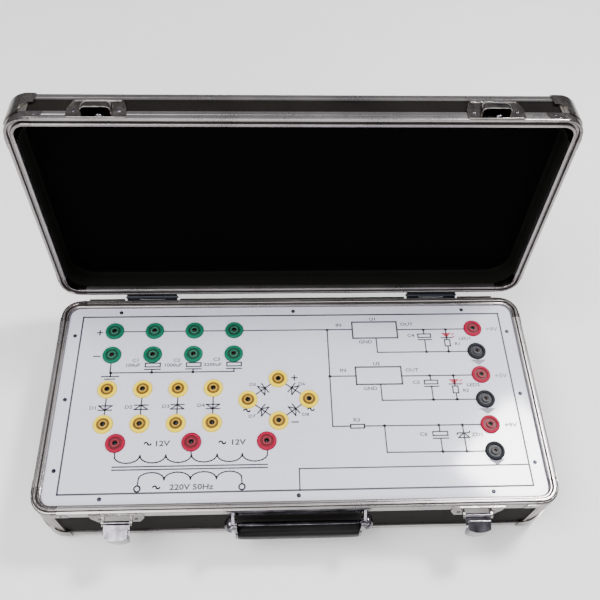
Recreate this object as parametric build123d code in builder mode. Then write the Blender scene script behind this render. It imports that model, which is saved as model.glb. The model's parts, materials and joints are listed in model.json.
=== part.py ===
from build123d import *
import os
from math import cos, radians, sin

os.makedirs("parts", exist_ok=True)

# Case, in millimetres: the box over its aluminium edges, closed
case_width = 460
case_depth = 216
base_height = 64
foot_height = 6
foot_radius = 9
foot_taper = 6
foot_span_x = 380
foot_span_y = 150
lid_height = 32
open_angle = 95
corner_radius = 18
board = 4
skin = 1.4
slip = 0.05
clearance = 0.3

# Aluminium edges
rim_face = 8
rim_skirt = 9
rim_lip = 5
tongue_inset = 3
tongue_width = 2
tongue_height = 1.6
groove_clearance = 0.4
edge_leg = 8.5
edge_round = 2.5
rim_corner_leg = 24
post_leg = 20
rib_count = 7
rib_size = 0.8
cap_leg = 24
cap_wall = 1.2
cap_scoop = 11
cap_round = 4
lining_radius = 24
lining_roof = 2.6

# Faceplate and what holds it
plate_recess = 3
plate_thickness = 2
plate_screw_inset = 5
plate_screw_side_inset = 7.5
plate_screw_reach = 171.8
plate_screw_side_reach = 68.6
screw_head_radius = 1.9
screw_head_height = 1
screw_sides = 8
batten_width = 16.6
batten_height = 14

# Banana sockets
flange_radius = 9
flange_height = 3
recess_radius = 5
sleeve_radius = 3.9
sleeve_bore = 2
sleeve_proud = 3.4
sleeve_reach = 14

# The many small rounds of the sockets are drawn with few sides
head_sides = 24
sleeve_sides = 12

# Where the sockets stand, from the middle of a faceplate of this depth
layout_depth = 199.4
supply_x = -117.5
supply_y = 59.8
supply_pitch = 39
supply_rows = 26.6
diode_x = -127
diode_y = -7.8
diode_pitch = 33
diode_rows = 35.2
bridge_x = -16.3
bridge_y = -2.8
bridge_reach_x = 28.6
bridge_reach_y = 21.5
winding_x = -95.5
winding_y = -43.9
winding_pitch = 68
output_x = 179.7
output_y = 20.5
output_pitch = 51.8
output_drop = 26

# Hinges, latches and handle
hinge_x = 142
hinge_width = 50
hinge_leaf = 0.9
hinge_leaf_height = 18
hinge_barrel = 2.2
hinge_pin = 1.1
latch_x = 156
latch_width = 46
latch_foot_width = 36
latch_plate_height = 20
plate_metal = 1.2
strap_width = 22
strap_length = 12
strap_knuckle = 1.9
strap_shoulder = 3.5
strap_pivot_out = 5.5
strap_pivot_down = 10
strap_rest_angle = 100
strap_shut_angle = 24
thumb_width = 20
thumb_rest_angle = 68
latch_ear = 1.6
latch_eye = 2.6
latch_pin = 1
trunnion = 0.95
trunnion_knuckle_width = 12
trunnion_eye = 2.2
thumb_bar = 2.3
thumb_length = 17
thumb_wall = 2.4
thumb_flick = 0.6
thumb_shoulder = 0.6
thumb_round = 7
lip_reach = 4.6
lip_top = 6
catch_height = 22
catch_top_width = 38
hood_width = 24
hood_gap = 6.3
hood_mouth = 5
hood_height = 14
handle_span = 112
handle_drop = 20
handle_pivot_out = 8
handle_pivot_down = 13
handle_ear = 2
handle_arm = 2
arm_inset = 1
handle_eye = 4.5
handle_pin = 2
grip_width = 14
grip_height = 18
grip_round = 6
strap_plate_height = 8
plate_step = 1

# Mains inlet and switch on the back
inlet_x = -150
inlet_up = 26
inlet_width = 50
inlet_height = 30
inlet_depth = 18
inlet_flange = 2
inlet_mouth_width = 24
inlet_mouth_height = 16.5
inlet_mouth_depth = 15
inlet_pin_gap = 7
inlet_pin_width = 2
inlet_pin_height = 4
inlet_pin_short = 4
inlet_wall = 2
inlet_round = 2
rocker_x = -104
rocker_width = 13
rocker_height = 18.4
rocker_wall = 1.4
rocker_gap = 0.6
rocker_frame_depth = 14
rocker_pivot_in = 4
rocker_proud = 2.4
rocker_shoulder = 0.6
rocker_pin = 1.2
rocker_tilt = 8

# Inside the base
pcb_x = 80
pcb_width = 170
pcb_depth = 110
pcb_thickness = 1.6
pcb_round = 2
standoff_height = 8
standoff_radius = 3
standoff_inset = 6
capacitor_radius = 6.5
capacitor_height = 18
capacitor_gap = 10
capacitor_sides = 12
lead_sides = 8
diode_radius = 2.6
diode_length = 9
diode_row_pitch = 16
resistor_radius = 1.6
resistor_length = 7
core_width = 54
core_depth = 20
core_height = 36
core_x = -110
core_y = -30
core_limb = 16
core_yoke = 8
core_window = 11
core_window_x = 13.5
winding_wall = 9
bracket_leg = 10
bracket_metal = 1.2
bracket_inset = 1
regulator_x = 20
regulator_width = 10
regulator_depth = 4.5
regulator_body = 9
regulator_tab = 1.3
regulator_height = 16
heatsink_y = 34
heatsink_width = 24
heatsink_plate = 2
heatsink_fins = 5
heatsink_fin_thickness = 1.2
heatsink_fin = 8
heatsink_height = 20

# Levels
rim_z = foot_height + base_height
plate_top = rim_z - plate_recess
plate_under = plate_top - plate_thickness
floor_under = foot_height + skin
floor_top = floor_under + board
wall_inside = skin + board
inlet_down = base_height - inlet_up
lid_gap = clearance
hinge_set_back = hinge_leaf + clearance + hinge_barrel
hinge_y = case_depth / 2 + hinge_set_back
hinge_z = rim_z + lid_gap / 2
groove_depth = tongue_height + groove_clearance

# The whole opened case stands with the middle of its box over the origin
strap_out = strap_pivot_out + strap_length * sin(radians(strap_rest_angle))
thumb_lean = strap_rest_angle - strap_shut_angle - thumb_rest_angle
thumb_out = (thumb_wall + plate_metal) * cos(radians(thumb_lean)) + thumb_shoulder * sin(radians(thumb_lean))
front_reach = case_depth / 2 + strap_out + thumb_out
lid_tilt = radians(open_angle)
back_reach = (
    hinge_y
    - (hinge_y + case_depth / 2 + cap_wall - cap_round) * cos(lid_tilt)
    + (lid_height + lid_gap / 2 + cap_wall - cap_round) * sin(lid_tilt)
    + cap_round
)
case_y = (front_reach - back_reach) / 2

case = Plane((0, case_y, 0))
rim = case.offset(rim_z)
hinge_axis = Vector(0, case_y + hinge_y, hinge_z)
lid_back = Vector(0, -hinge_y * cos(lid_tilt), hinge_y * sin(lid_tilt))
lid_rise = Vector(0, sin(lid_tilt), cos(lid_tilt))
lid = Plane(
    origin=hinge_axis + lid_back + lid_rise * (lid_gap / 2),
    x_dir=(1, 0, 0),
    z_dir=lid_rise,
)


def edge_runs(corner):
    # Inward direction, distance across the case and length of each straight edge
    long_run = case_width - 2 * corner
    short_run = case_depth - 2 * corner
    return [
        ((0, 1), case_depth, long_run),
        ((0, -1), case_depth, long_run),
        ((1, 0), case_width, short_run),
        ((-1, 0), case_width, short_run),
    ]


def edge_plane(level, inward, across, run):
    # Across one edge: x points inwards from its outer face and y along the level's normal
    x_dir = level.x_dir * inward[0] + level.y_dir * inward[1]
    z_dir = x_dir.cross(level.z_dir)
    start = level.origin - x_dir * (across / 2) - z_dir * (run / 2)
    return Plane(origin=start, x_dir=x_dir, z_dir=z_dir)


def strip(inner, outer, low, high):
    # A rectangle between two insets and two heights
    with Locations(((inner + outer) / 2, (low + high) / 2)):
        Rectangle(outer - inner, high - low)


def corner_path(level, leg):
    # Round the front left corner, from the left edge to the front edge
    with BuildLine(level) as path:
        side = Line((-case_width / 2, leg - case_depth / 2), (-case_width / 2, corner_radius - case_depth / 2))
        turn = TangentArc(side @ 1, (corner_radius - case_width / 2, -case_depth / 2), tangent=side % 1)
        Line(turn @ 1, (leg - case_width / 2, -case_depth / 2))
    return path.wire()


def corner_start(level, leg):
    start = level.from_local_coords(Vector(-case_width / 2, leg - case_depth / 2, 0))
    return Plane(origin=start, x_dir=level.x_dir, z_dir=-level.y_dir)


def middle_plane(level):
    return Plane(origin=level.origin, x_dir=level.x_dir, z_dir=level.y_dir)


def face_plane(level, x, facing):
    # On the outer front (facing -1) or back (facing 1) of base or lid: x runs across and y up the wall
    origin = level.from_local_coords(Vector(x, facing * case_depth / 2, 0))
    return Plane(origin=origin, x_dir=level.x_dir * -facing, z_dir=level.y_dir * facing)


def side_plane(level, x, facing, out=0, up=0, turn=0):
    # Across the front or back: x points out of the face and y up, both turned by an angle outwards
    along = level.y_dir * facing
    origin = level.from_local_coords(Vector(x, facing * (case_depth / 2 + out), up))
    lean = radians(turn)
    x_dir = along * cos(lean) - level.z_dir * sin(lean)
    return Plane(origin=origin, x_dir=x_dir, z_dir=level.x_dir * facing)


def grid(x, y, pitch, rows, across, down):
    return [
        (x + pitch * (i - (across - 1) / 2), y + rows * (j - (down - 1) / 2))
        for i in range(across)
        for j in range(down)
    ]


# Sections of the aluminium edges, x inwards from the outer face and y from the rim's face
tongue_end = tongue_inset + tongue_width

with BuildSketch() as base_rim_section:
    with BuildLine():
        Polyline(
            (0, -rim_skirt),
            (0, 0),
            (tongue_inset, 0),
            (tongue_inset, tongue_height),
            (tongue_end, tongue_height),
            (tongue_end, 0),
            (rim_face, 0),
            (rim_face, -rim_lip),
            (wall_inside, -rim_lip),
            (wall_inside, -rim_lip + skin),
            (rim_face - skin, -rim_lip + skin),
            (rim_face - skin, -skin),
            (skin, -skin),
            (skin, -rim_skirt),
            close=True,
        )
    make_face()

with BuildSketch() as lid_rim_section:
    with BuildLine():
        Polyline(
            (0, rim_skirt),
            (0, 0),
            (tongue_inset - groove_clearance, 0),
            (tongue_inset - groove_clearance, groove_depth),
            (tongue_end + groove_clearance, groove_depth),
            (tongue_end + groove_clearance, 0),
            (rim_face, 0),
            (rim_face, rim_lip),
            (wall_inside, rim_lip),
            (wall_inside, groove_depth + skin),
            (skin, groove_depth + skin),
            (skin, rim_skirt),
            close=True,
        )
    make_face()

# An angle that wraps an outer edge of the case, drawn with its rounded corner at the origin
with BuildSketch() as edge_section:
    with BuildLine():
        wall_leg = Line((0, edge_leg), (0, edge_round))
        bend = TangentArc(wall_leg @ 1, (edge_round, 0), tangent=wall_leg % 1)
        Polyline(bend @ 1, (edge_leg, 0), (edge_leg, skin), (skin, skin), (skin, edge_leg), wall_leg @ 0)
    make_face()

# Ribbed quarter round walls, where the outline of the case meets four corner squares
with BuildSketch() as post_section:
    RectangleRounded(case_width, case_depth, corner_radius)
    RectangleRounded(case_width - 2 * skin, case_depth - 2 * skin, corner_radius - skin, mode=Mode.SUBTRACT)
    Rectangle(case_width - 2 * post_leg, case_depth, mode=Mode.SUBTRACT)
    Rectangle(case_width, case_depth - 2 * post_leg, mode=Mode.SUBTRACT)
    for turn, side_x, side_y in ((0, 1, 1), (90, -1, 1), (180, -1, -1), (270, 1, -1)):
        with Locations((side_x * (case_width / 2 - corner_radius), side_y * (case_depth / 2 - corner_radius))):
            with PolarLocations(corner_radius, rib_count, start_angle=turn, angular_range=90, endpoint=True):
                Rectangle(rib_size, rib_size, rotation=45, mode=Mode.SUBTRACT)

# Base boards and edges
front_run, back_run, left_run, right_run = edge_runs(corner_radius)

with BuildPart() as base_floor_board:
    with BuildSketch(case.offset(floor_under)):
        RectangleRounded(case_width - 2 * wall_inside, case_depth - 2 * wall_inside, corner_radius - wall_inside)
    extrude(amount=board)

with BuildPart() as base_front_board:
    with BuildSketch(edge_plane(rim, *front_run)):
        strip(skin, wall_inside, skin - base_height, -skin)
    extrude(amount=front_run[2])

with BuildPart() as base_side_boards:
    for side_run in (left_run, right_run):
        with BuildSketch(edge_plane(rim, *side_run)):
            strip(skin, wall_inside, skin - base_height, -skin)
        extrude(amount=side_run[2])

# The back board's outer face, seen from behind
back_face = face_plane(rim, 0, 1).offset(-skin)
inlet_place = (-inlet_x, -inlet_down)
rocker_place = (-rocker_x, -inlet_down)
inlet_body_width = inlet_mouth_width + 2 * inlet_wall
inlet_body_height = inlet_mouth_height + 2 * inlet_wall
rocker_frame_width = rocker_width + 2 * (rocker_wall + rocker_gap)
rocker_frame_height = rocker_height + 2 * (rocker_wall + rocker_gap)

with BuildPart() as base_back_board:
    with BuildSketch(edge_plane(rim, *back_run)):
        strip(skin, wall_inside, skin - base_height, -skin)
    extrude(amount=back_run[2])
    with BuildSketch(back_face):
        with Locations(inlet_place):
            Rectangle(inlet_body_width + 2 * slip, inlet_body_height + 2 * slip)
        with Locations(rocker_place):
            Rectangle(rocker_frame_width + 2 * slip, rocker_frame_height + 2 * slip)
    extrude(amount=-board, mode=Mode.SUBTRACT)

with BuildPart() as base_bottom_rails:
    for edge_run in edge_runs(post_leg):
        with BuildSketch(edge_plane(case.offset(foot_height), *edge_run)):
            add(edge_section.sketch)
        extrude(amount=edge_run[2])

with BuildPart() as base_corner_posts:
    with BuildSketch(case.offset(foot_height)):
        add(post_section.sketch)
    extrude(amount=base_height - rim_skirt)

with BuildPart() as base_rim_rails:
    for edge_run in edge_runs(rim_corner_leg):
        with BuildSketch(edge_plane(rim, *edge_run)):
            add(base_rim_section.sketch)
        extrude(amount=edge_run[2])

with BuildPart() as base_rim_corners:
    with BuildSketch(corner_start(rim, rim_corner_leg)):
        add(base_rim_section.sketch)
    sweep(path=corner_path(rim, rim_corner_leg))
    mirror(about=Plane.YZ)
    mirror(about=middle_plane(rim))


def corner_caps(level):
    # Pressed caps that wrap three faces at each corner, scooped out on every face towards its middle
    with BuildPart() as caps:
        with BuildSketch(level.offset(-cap_wall)):
            RectangleRounded(case_width + 2 * cap_wall, case_depth + 2 * cap_wall, corner_radius + cap_wall)
        extrude(amount=cap_leg + cap_wall)
        fillet(caps.edges().group_by(Axis(level.origin, level.z_dir))[0], cap_round)
        with BuildSketch(level):
            RectangleRounded(case_width, case_depth, corner_radius)
        extrude(amount=cap_leg, mode=Mode.SUBTRACT)
        with BuildSketch(level.offset(-cap_wall)):
            Rectangle(case_width - 2 * cap_leg, case_depth + 2 * cap_leg)
            Rectangle(case_width + 2 * cap_leg, case_depth - 2 * cap_leg)
            with GridLocations(case_width - 2 * cap_leg, case_depth - 2 * cap_leg, 2, 2):
                Circle(cap_scoop)
        extrude(amount=cap_wall, mode=Mode.SUBTRACT)
        with BuildSketch(level):
            Rectangle(case_width - 2 * cap_leg, case_depth + 2 * cap_leg)
            Rectangle(case_width + 2 * cap_leg, case_depth - 2 * cap_leg)
        extrude(amount=cap_leg, mode=Mode.SUBTRACT)
        with BuildSketch(Plane(origin=level.offset(cap_leg).origin, x_dir=level.x_dir, z_dir=level.y_dir)):
            with GridLocations(case_width - 2 * cap_leg, 0, 2, 1):
                Circle(cap_scoop)
        extrude(amount=case_depth, both=True, mode=Mode.SUBTRACT)
        with BuildSketch(Plane(origin=level.offset(cap_leg).origin, x_dir=level.y_dir, z_dir=level.x_dir)):
            with GridLocations(case_depth - 2 * cap_leg, 0, 2, 1):
                Circle(cap_scoop)
        extrude(amount=case_width, both=True, mode=Mode.SUBTRACT)
    return caps.part


base_bottom_corners = corner_caps(case.offset(foot_height))

with BuildPart() as rubber_feet:
    with BuildSketch(case):
        with GridLocations(foot_span_x, foot_span_y, 2, 2):
            Circle(foot_radius)
    extrude(amount=floor_under, taper=foot_taper)

# Lid boards and edges, drawn on the opened lid
lid_roof_inside = lid_height - wall_inside

with BuildPart() as lid_roof_board:
    with BuildSketch(lid.offset(lid_roof_inside)):
        RectangleRounded(case_width - 2 * wall_inside, case_depth - 2 * wall_inside, corner_radius - wall_inside)
    extrude(amount=board)

with BuildPart() as lid_wall_boards:
    for edge_run in edge_runs(corner_radius):
        with BuildSketch(edge_plane(lid, *edge_run)):
            strip(skin, wall_inside, groove_depth + skin, lid_height - skin)
        extrude(amount=edge_run[2])

lid_top = Plane(origin=lid.offset(lid_height).origin, x_dir=lid.x_dir, z_dir=-lid.z_dir)

with BuildPart() as lid_roof_rails:
    for edge_run in edge_runs(post_leg):
        with BuildSketch(edge_plane(lid_top, *edge_run)):
            add(edge_section.sketch)
        extrude(amount=edge_run[2])

with BuildPart() as lid_corner_posts:
    with BuildSketch(lid.offset(rim_skirt)):
        add(post_section.sketch)
    extrude(amount=lid_height - rim_skirt)

with BuildPart() as lid_rim_rails:
    for edge_run in edge_runs(rim_corner_leg):
        with BuildSketch(edge_plane(lid, *edge_run)):
            add(lid_rim_section.sketch)
        extrude(amount=edge_run[2])

with BuildPart() as lid_rim_corners:
    with BuildSketch(corner_start(lid, rim_corner_leg)):
        add(lid_rim_section.sketch)
    sweep(path=corner_path(lid, rim_corner_leg))
    mirror(about=Plane.YZ)
    mirror(about=middle_plane(lid))

lid_roof_corners = corner_caps(lid_top)

with BuildPart() as lid_lining:
    with BuildSketch(lid.offset(rim_lip)):
        RectangleRounded(case_width - 2 * wall_inside, case_depth - 2 * wall_inside, corner_radius - wall_inside)
    extrude(amount=lid_roof_inside - rim_lip)
    with BuildSketch(lid.offset(rim_lip)):
        RectangleRounded(case_width - 2 * rim_face, case_depth - 2 * rim_face, lining_radius)
    extrude(amount=lid_roof_inside - rim_lip - lining_roof, mode=Mode.SUBTRACT)

# Faceplate, the battens under it and what stands on it
plate_width = case_width - 2 * rim_face - 2 * clearance
plate_depth = case_depth - 2 * rim_face - 2 * clearance
output_levels = [output_y + output_pitch, output_y, output_y - output_pitch]
bridge_spots = [
    (bridge_x, bridge_y + bridge_reach_y),
    (bridge_x - bridge_reach_x, bridge_y),
    (bridge_x + bridge_reach_x, bridge_y),
    (bridge_x, bridge_y - bridge_reach_y),
]


def fitted(spots):
    # Spots of the layout, brought in or out with the depth of the faceplate
    return [(x, y * plate_depth / layout_depth) for x, y in spots]


green_spots = fitted(grid(supply_x, supply_y, supply_pitch, supply_rows, 4, 2))
yellow_spots = fitted(grid(diode_x, diode_y, diode_pitch, diode_rows, 4, 2) + bridge_spots)
red_spots = fitted(
    grid(winding_x, winding_y, winding_pitch, 0, 3, 1) + [(output_x, level) for level in output_levels]
)
black_spots = fitted([(output_x, level - output_drop) for level in output_levels])
socket_spots = green_spots + yellow_spots + red_spots + black_spots
screw_spots = grid(0, 0, plate_screw_reach, plate_depth - 2 * plate_screw_inset, 3, 2) + grid(
    0, 0, plate_width - 2 * plate_screw_side_inset, plate_screw_side_reach, 2, 3
)
plate_level = case.offset(plate_top)

with BuildPart() as faceplate:
    with BuildSketch(case.offset(plate_under)):
        RectangleRounded(plate_width, plate_depth, corner_radius - rim_face - clearance)
        with Locations(*socket_spots):
            RegularPolygon(sleeve_radius + slip, sleeve_sides, mode=Mode.SUBTRACT)
    extrude(amount=plate_thickness)

with BuildPart() as faceplate_screws:
    with BuildSketch(plate_level):
        with Locations(*screw_spots):
            RegularPolygon(screw_head_radius, screw_sides)
    extrude(amount=screw_head_height)

with BuildPart() as panel_battens:
    batten_end = wall_inside + batten_width
    for edge_run in edge_runs(corner_radius)[:2] + edge_runs(batten_end + clearance)[2:]:
        with BuildSketch(edge_plane(rim, *edge_run)):
            strip(wall_inside, batten_end, -rim_lip - batten_height, -rim_lip)
        extrude(amount=edge_run[2])


def socket_flanges(spots):
    # Coloured plastic rings that stand on the faceplate round their metal sleeves
    with BuildPart() as flanges:
        with BuildSketch(plate_level):
            with Locations(*spots):
                RegularPolygon(flange_radius, head_sides)
                RegularPolygon(recess_radius, sleeve_sides, mode=Mode.SUBTRACT)
        extrude(amount=flange_height)
    return flanges.part


green_sockets = socket_flanges(green_spots)
yellow_sockets = socket_flanges(yellow_spots)
red_sockets = socket_flanges(red_spots)
black_sockets = socket_flanges(black_spots)

with BuildPart() as socket_sleeves:
    with BuildSketch(case.offset(plate_under - sleeve_reach)):
        with Locations(*socket_spots):
            RegularPolygon(sleeve_radius, sleeve_sides)
            Circle(sleeve_bore, mode=Mode.SUBTRACT)
    extrude(amount=sleeve_reach + plate_thickness + sleeve_proud)

# Hinges: leaves on the backs of base and lid, with their barrels between them
knuckle = hinge_width / 4

with BuildPart() as hinge_base_leaves:
    for x in (-hinge_x, hinge_x):
        with BuildSketch(side_plane(rim, x, 1)):
            strip(0, hinge_leaf, -hinge_leaf_height, -clearance)
        extrude(amount=hinge_width / 2, both=True)
        with BuildSketch(side_plane(rim, x, 1)):
            with BuildLine():
                Polyline(
                    (0, -hinge_leaf_height / 2),
                    (0, -clearance),
                    (hinge_set_back, -clearance),
                    (hinge_set_back, -hinge_barrel + lid_gap / 2),
                    close=True,
                )
            make_face()
            with Locations((hinge_set_back, lid_gap / 2)):
                Circle(hinge_barrel)
                Circle(hinge_pin + slip, mode=Mode.SUBTRACT)
        extrude(amount=hinge_width / 2, both=True)
        with BuildSketch(side_plane(rim, x, 1)):
            with Locations((hinge_set_back, 0)):
                Rectangle(2 * (hinge_set_back - hinge_leaf), 3 * hinge_barrel)
        extrude(amount=knuckle + clearance, both=True, mode=Mode.SUBTRACT)

with BuildPart() as hinge_lid_leaves:
    for x in (-hinge_x, hinge_x):
        with BuildSketch(side_plane(lid, x, 1)):
            strip(0, hinge_leaf, clearance, hinge_leaf_height)
        extrude(amount=hinge_width / 2, both=True)
        with BuildSketch(side_plane(lid, x, 1)):
            with BuildLine():
                Polyline(
                    (0, hinge_leaf_height / 2),
                    (0, clearance),
                    (hinge_set_back, clearance),
                    (hinge_set_back, hinge_barrel - lid_gap / 2),
                    close=True,
                )
            make_face()
            with Locations((hinge_set_back, -lid_gap / 2)):
                Circle(hinge_barrel)
                Circle(hinge_pin + slip, mode=Mode.SUBTRACT)
        extrude(amount=knuckle, both=True)

with BuildPart() as hinge_pins:
    for x in (-hinge_x, hinge_x):
        with BuildSketch(side_plane(rim, x, 1, hinge_set_back, lid_gap / 2)):
            Circle(hinge_pin)
        extrude(amount=hinge_width / 2 + hinge_pin, both=True)

# Handle: a strap plate with two ears, and a grip that hangs from their pins
ear_inside = handle_span / 2
arm_outside = ear_inside - clearance
arm_inside = arm_outside - handle_arm

with BuildPart() as handle_plate:
    with BuildSketch(face_plane(rim, 0, -1)):
        strip(-ear_inside - handle_ear, ear_inside + handle_ear, -strap_plate_height - plate_step, -plate_step)
    extrude(amount=plate_metal)
    for x in (-ear_inside - handle_ear / 2, ear_inside + handle_ear / 2):
        with BuildSketch(side_plane(rim, x, -1)):
            with BuildLine():
                Polyline(
                    (0, -plate_step),
                    (plate_metal, -plate_step),
                    (handle_pivot_out + handle_eye, -handle_pivot_down),
                    (handle_pivot_out, -handle_pivot_down - handle_eye),
                    (0, -strap_plate_height - plate_step),
                    close=True,
                )
            make_face()
            with Locations((handle_pivot_out, -handle_pivot_down)):
                Circle(handle_eye)
                Circle(handle_pin, mode=Mode.SUBTRACT)
        extrude(amount=handle_ear / 2, both=True)

with BuildPart() as handle_pins:
    for x in (-ear_inside, ear_inside):
        with BuildSketch(side_plane(rim, x, -1, handle_pivot_out, -handle_pivot_down)):
            Circle(handle_pin)
        extrude(amount=handle_ear + clearance, both=True)

with BuildPart() as handle_arms:
    for x in (-(arm_inside + arm_outside) / 2, (arm_inside + arm_outside) / 2):
        with BuildSketch(side_plane(rim, x, -1, handle_pivot_out, -handle_pivot_down)):
            Circle(handle_eye)
            with Locations((0, -handle_drop)):
                RectangleRounded(grip_width - 2 * arm_inset, grip_height - 2 * arm_inset, grip_round - arm_inset)
            Rectangle(2 * handle_eye, handle_drop, align=(Align.CENTER, Align.MAX))
            Circle(handle_pin + slip, mode=Mode.SUBTRACT)
        extrude(amount=handle_arm / 2, both=True)

with BuildPart() as handle_grip:
    with BuildSketch(side_plane(rim, 0, -1, handle_pivot_out, -handle_pivot_down)):
        with Locations((0, -handle_drop)):
            RectangleRounded(grip_width, grip_height, grip_round)
    extrude(amount=arm_inside, both=True)

# Draw latches on the base and their catches on the lid
ear_start = strap_width / 2 + clearance
latch_plate_foot = latch_plate_height + plate_step
pivot_place = (strap_pivot_out, -strap_pivot_down)
strap_end = (
    strap_pivot_out + strap_length * sin(radians(strap_rest_angle)),
    -strap_pivot_down + strap_length * cos(radians(strap_rest_angle)),
)

with BuildPart() as latch_plates:
    for x in (-latch_x, latch_x):
        with BuildSketch(face_plane(rim, x, -1)):
            with BuildLine():
                Polyline(
                    (-latch_width / 2, -plate_step),
                    (latch_width / 2, -plate_step),
                    (latch_width / 2, -latch_plate_height / 2),
                    (latch_foot_width / 2, -latch_plate_foot),
                    (-latch_foot_width / 2, -latch_plate_foot),
                    (-latch_width / 2, -latch_plate_height / 2),
                    close=True,
                )
            make_face()
        extrude(amount=plate_metal)
        with BuildSketch(face_plane(rim, x, -1)):
            strip(-latch_foot_width / 2, latch_foot_width / 2, -latch_plate_foot, plate_metal - latch_plate_foot)
        extrude(amount=-skin)
        for ear_x in (x - ear_start - latch_ear / 2, x + ear_start + latch_ear / 2):
            with BuildSketch(side_plane(rim, ear_x, -1)):
                strip(0, strap_pivot_out, -strap_pivot_down - latch_eye, -strap_pivot_down + latch_eye)
                with Locations(pivot_place):
                    Circle(latch_eye)
                    Circle(latch_pin, mode=Mode.SUBTRACT)
            extrude(amount=latch_ear / 2, both=True)

with BuildPart() as latch_pins:
    for x in (-latch_x, latch_x):
        with BuildSketch(side_plane(rim, x, -1, strap_pivot_out, -strap_pivot_down)):
            Circle(latch_pin)
        extrude(amount=ear_start + latch_ear + clearance, both=True)


def latch_strap(x):
    # The link between the plate and the thumb lever, ending in trunnions that carry the lever
    with BuildPart() as strap:
        with BuildSketch(side_plane(rim, x, -1, *pivot_place, strap_rest_angle)):
            strip(-plate_metal / 2, plate_metal / 2, 0, strap_length - strap_shoulder)
            Circle(strap_knuckle)
            Circle(latch_pin + slip, mode=Mode.SUBTRACT)
        extrude(amount=strap_width / 2, both=True)
        with BuildSketch(side_plane(rim, x, -1, *pivot_place, strap_rest_angle)):
            strip(-plate_metal / 2, plate_metal / 2, strap_knuckle, strap_length)
            with Locations((0, strap_length)):
                Circle(strap_knuckle)
        extrude(amount=trunnion_knuckle_width / 2, both=True)
        with BuildSketch(side_plane(rim, x, -1, *strap_end)):
            Circle(trunnion)
        extrude(amount=thumb_width / 2, both=True)
    return strap.part


def thumb_lever(x):
    # Drawn shut: a lip that goes up behind the catch, over the trunnions and down to a rounded tongue
    with BuildPart() as lever:
        with BuildSketch(side_plane(rim, x, -1, *strap_end, thumb_lean)):
            with BuildLine():
                Polyline(
                    (-lip_reach - plate_metal, lip_top),
                    (-lip_reach - plate_metal, thumb_bar),
                    (thumb_wall - thumb_shoulder, thumb_bar),
                    (thumb_wall, thumb_shoulder),
                    (thumb_wall, -thumb_length / 2),
                    (thumb_wall + thumb_flick, -thumb_length),
                    (thumb_wall + thumb_flick + plate_metal, -thumb_length),
                    (thumb_wall + plate_metal, -thumb_length / 2),
                    (thumb_wall + plate_metal, thumb_shoulder),
                    (thumb_wall, thumb_bar + plate_metal),
                    (-lip_reach, thumb_bar + plate_metal),
                    (-lip_reach, lip_top),
                    close=True,
                )
            make_face()
        extrude(amount=thumb_width / 2, both=True)
        for cheek_x in (x - (thumb_width - plate_metal) / 2, x + (thumb_width - plate_metal) / 2):
            with BuildSketch(side_plane(rim, cheek_x, -1, *strap_end, thumb_lean)):
                with BuildLine():
                    Polyline(
                        (-trunnion_eye, thumb_bar),
                        (thumb_wall, thumb_bar),
                        (thumb_wall, -thumb_length / 2),
                        (0, -trunnion_eye),
                        (-trunnion_eye, 0),
                        close=True,
                    )
                make_face()
                Circle(trunnion_eye)
                Circle(trunnion + slip, mode=Mode.SUBTRACT)
            extrude(amount=plate_metal / 2, both=True)
        with BuildSketch(face_plane(rim, x, -1)):
            with Locations((0, strap_end[1] - thumb_length)):
                RectangleRounded(thumb_width, 4 * thumb_length, thumb_round, align=(Align.CENTER, Align.MIN))
        extrude(amount=3 * strap_end[0], mode=Mode.INTERSECT)
    return lever.part


left_latch_strap = latch_strap(-latch_x)
right_latch_strap = latch_strap(latch_x)
left_thumb_lever = thumb_lever(-latch_x)
right_thumb_lever = thumb_lever(latch_x)

with BuildPart() as catch_plates:
    for x in (-latch_x, latch_x):
        with BuildSketch(face_plane(lid, x, -1)):
            with BuildLine():
                Polyline(
                    (-latch_width / 2, clearance),
                    (latch_width / 2, clearance),
                    (latch_width / 2, catch_height / 2),
                    (catch_top_width / 2, catch_height),
                    (-catch_top_width / 2, catch_height),
                    (-latch_width / 2, catch_height / 2),
                    close=True,
                )
            make_face()
        extrude(amount=plate_metal)
        with BuildSketch(face_plane(lid, x, -1)):
            strip(-catch_top_width / 2, catch_top_width / 2, catch_height - plate_metal, catch_height)
        extrude(amount=-skin)
        with BuildSketch(side_plane(lid, x, -1)):
            with BuildLine():
                Polyline(
                    (0, hood_mouth),
                    (hood_gap + plate_metal, hood_mouth),
                    (hood_gap + plate_metal, hood_mouth + hood_height / 2),
                    (plate_metal, hood_mouth + hood_height),
                    (0, hood_mouth + hood_height),
                    close=True,
                )
            make_face()
        extrude(amount=hood_width / 2, both=True)
        with BuildSketch(side_plane(lid, x, -1)):
            with BuildLine():
                Polyline(
                    (plate_metal, hood_mouth),
                    (hood_gap, hood_mouth),
                    (hood_gap, hood_mouth + hood_height / 2 - plate_metal / 2),
                    (plate_metal, hood_mouth + hood_height - 2 * plate_metal),
                    close=True,
                )
            make_face()
        extrude(amount=hood_width / 2 - plate_metal, both=True, mode=Mode.SUBTRACT)

# Mains inlet and rocker switch
rocker_pivot = side_plane(rim, rocker_x, 1, -skin - rocker_pivot_in, -inlet_down, rocker_tilt)

with BuildPart() as mains_inlet:
    with BuildSketch(back_face):
        with Locations(inlet_place):
            RectangleRounded(inlet_width, inlet_height, inlet_round)
    extrude(amount=inlet_flange)
    with BuildSketch(back_face):
        with Locations(inlet_place):
            Rectangle(inlet_body_width, inlet_body_height)
    extrude(amount=-inlet_depth)
    with BuildSketch(back_face.offset(inlet_flange)):
        with Locations(inlet_place):
            RectangleRounded(inlet_mouth_width, inlet_mouth_height, inlet_round)
    extrude(amount=-inlet_mouth_depth, mode=Mode.SUBTRACT)

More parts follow.
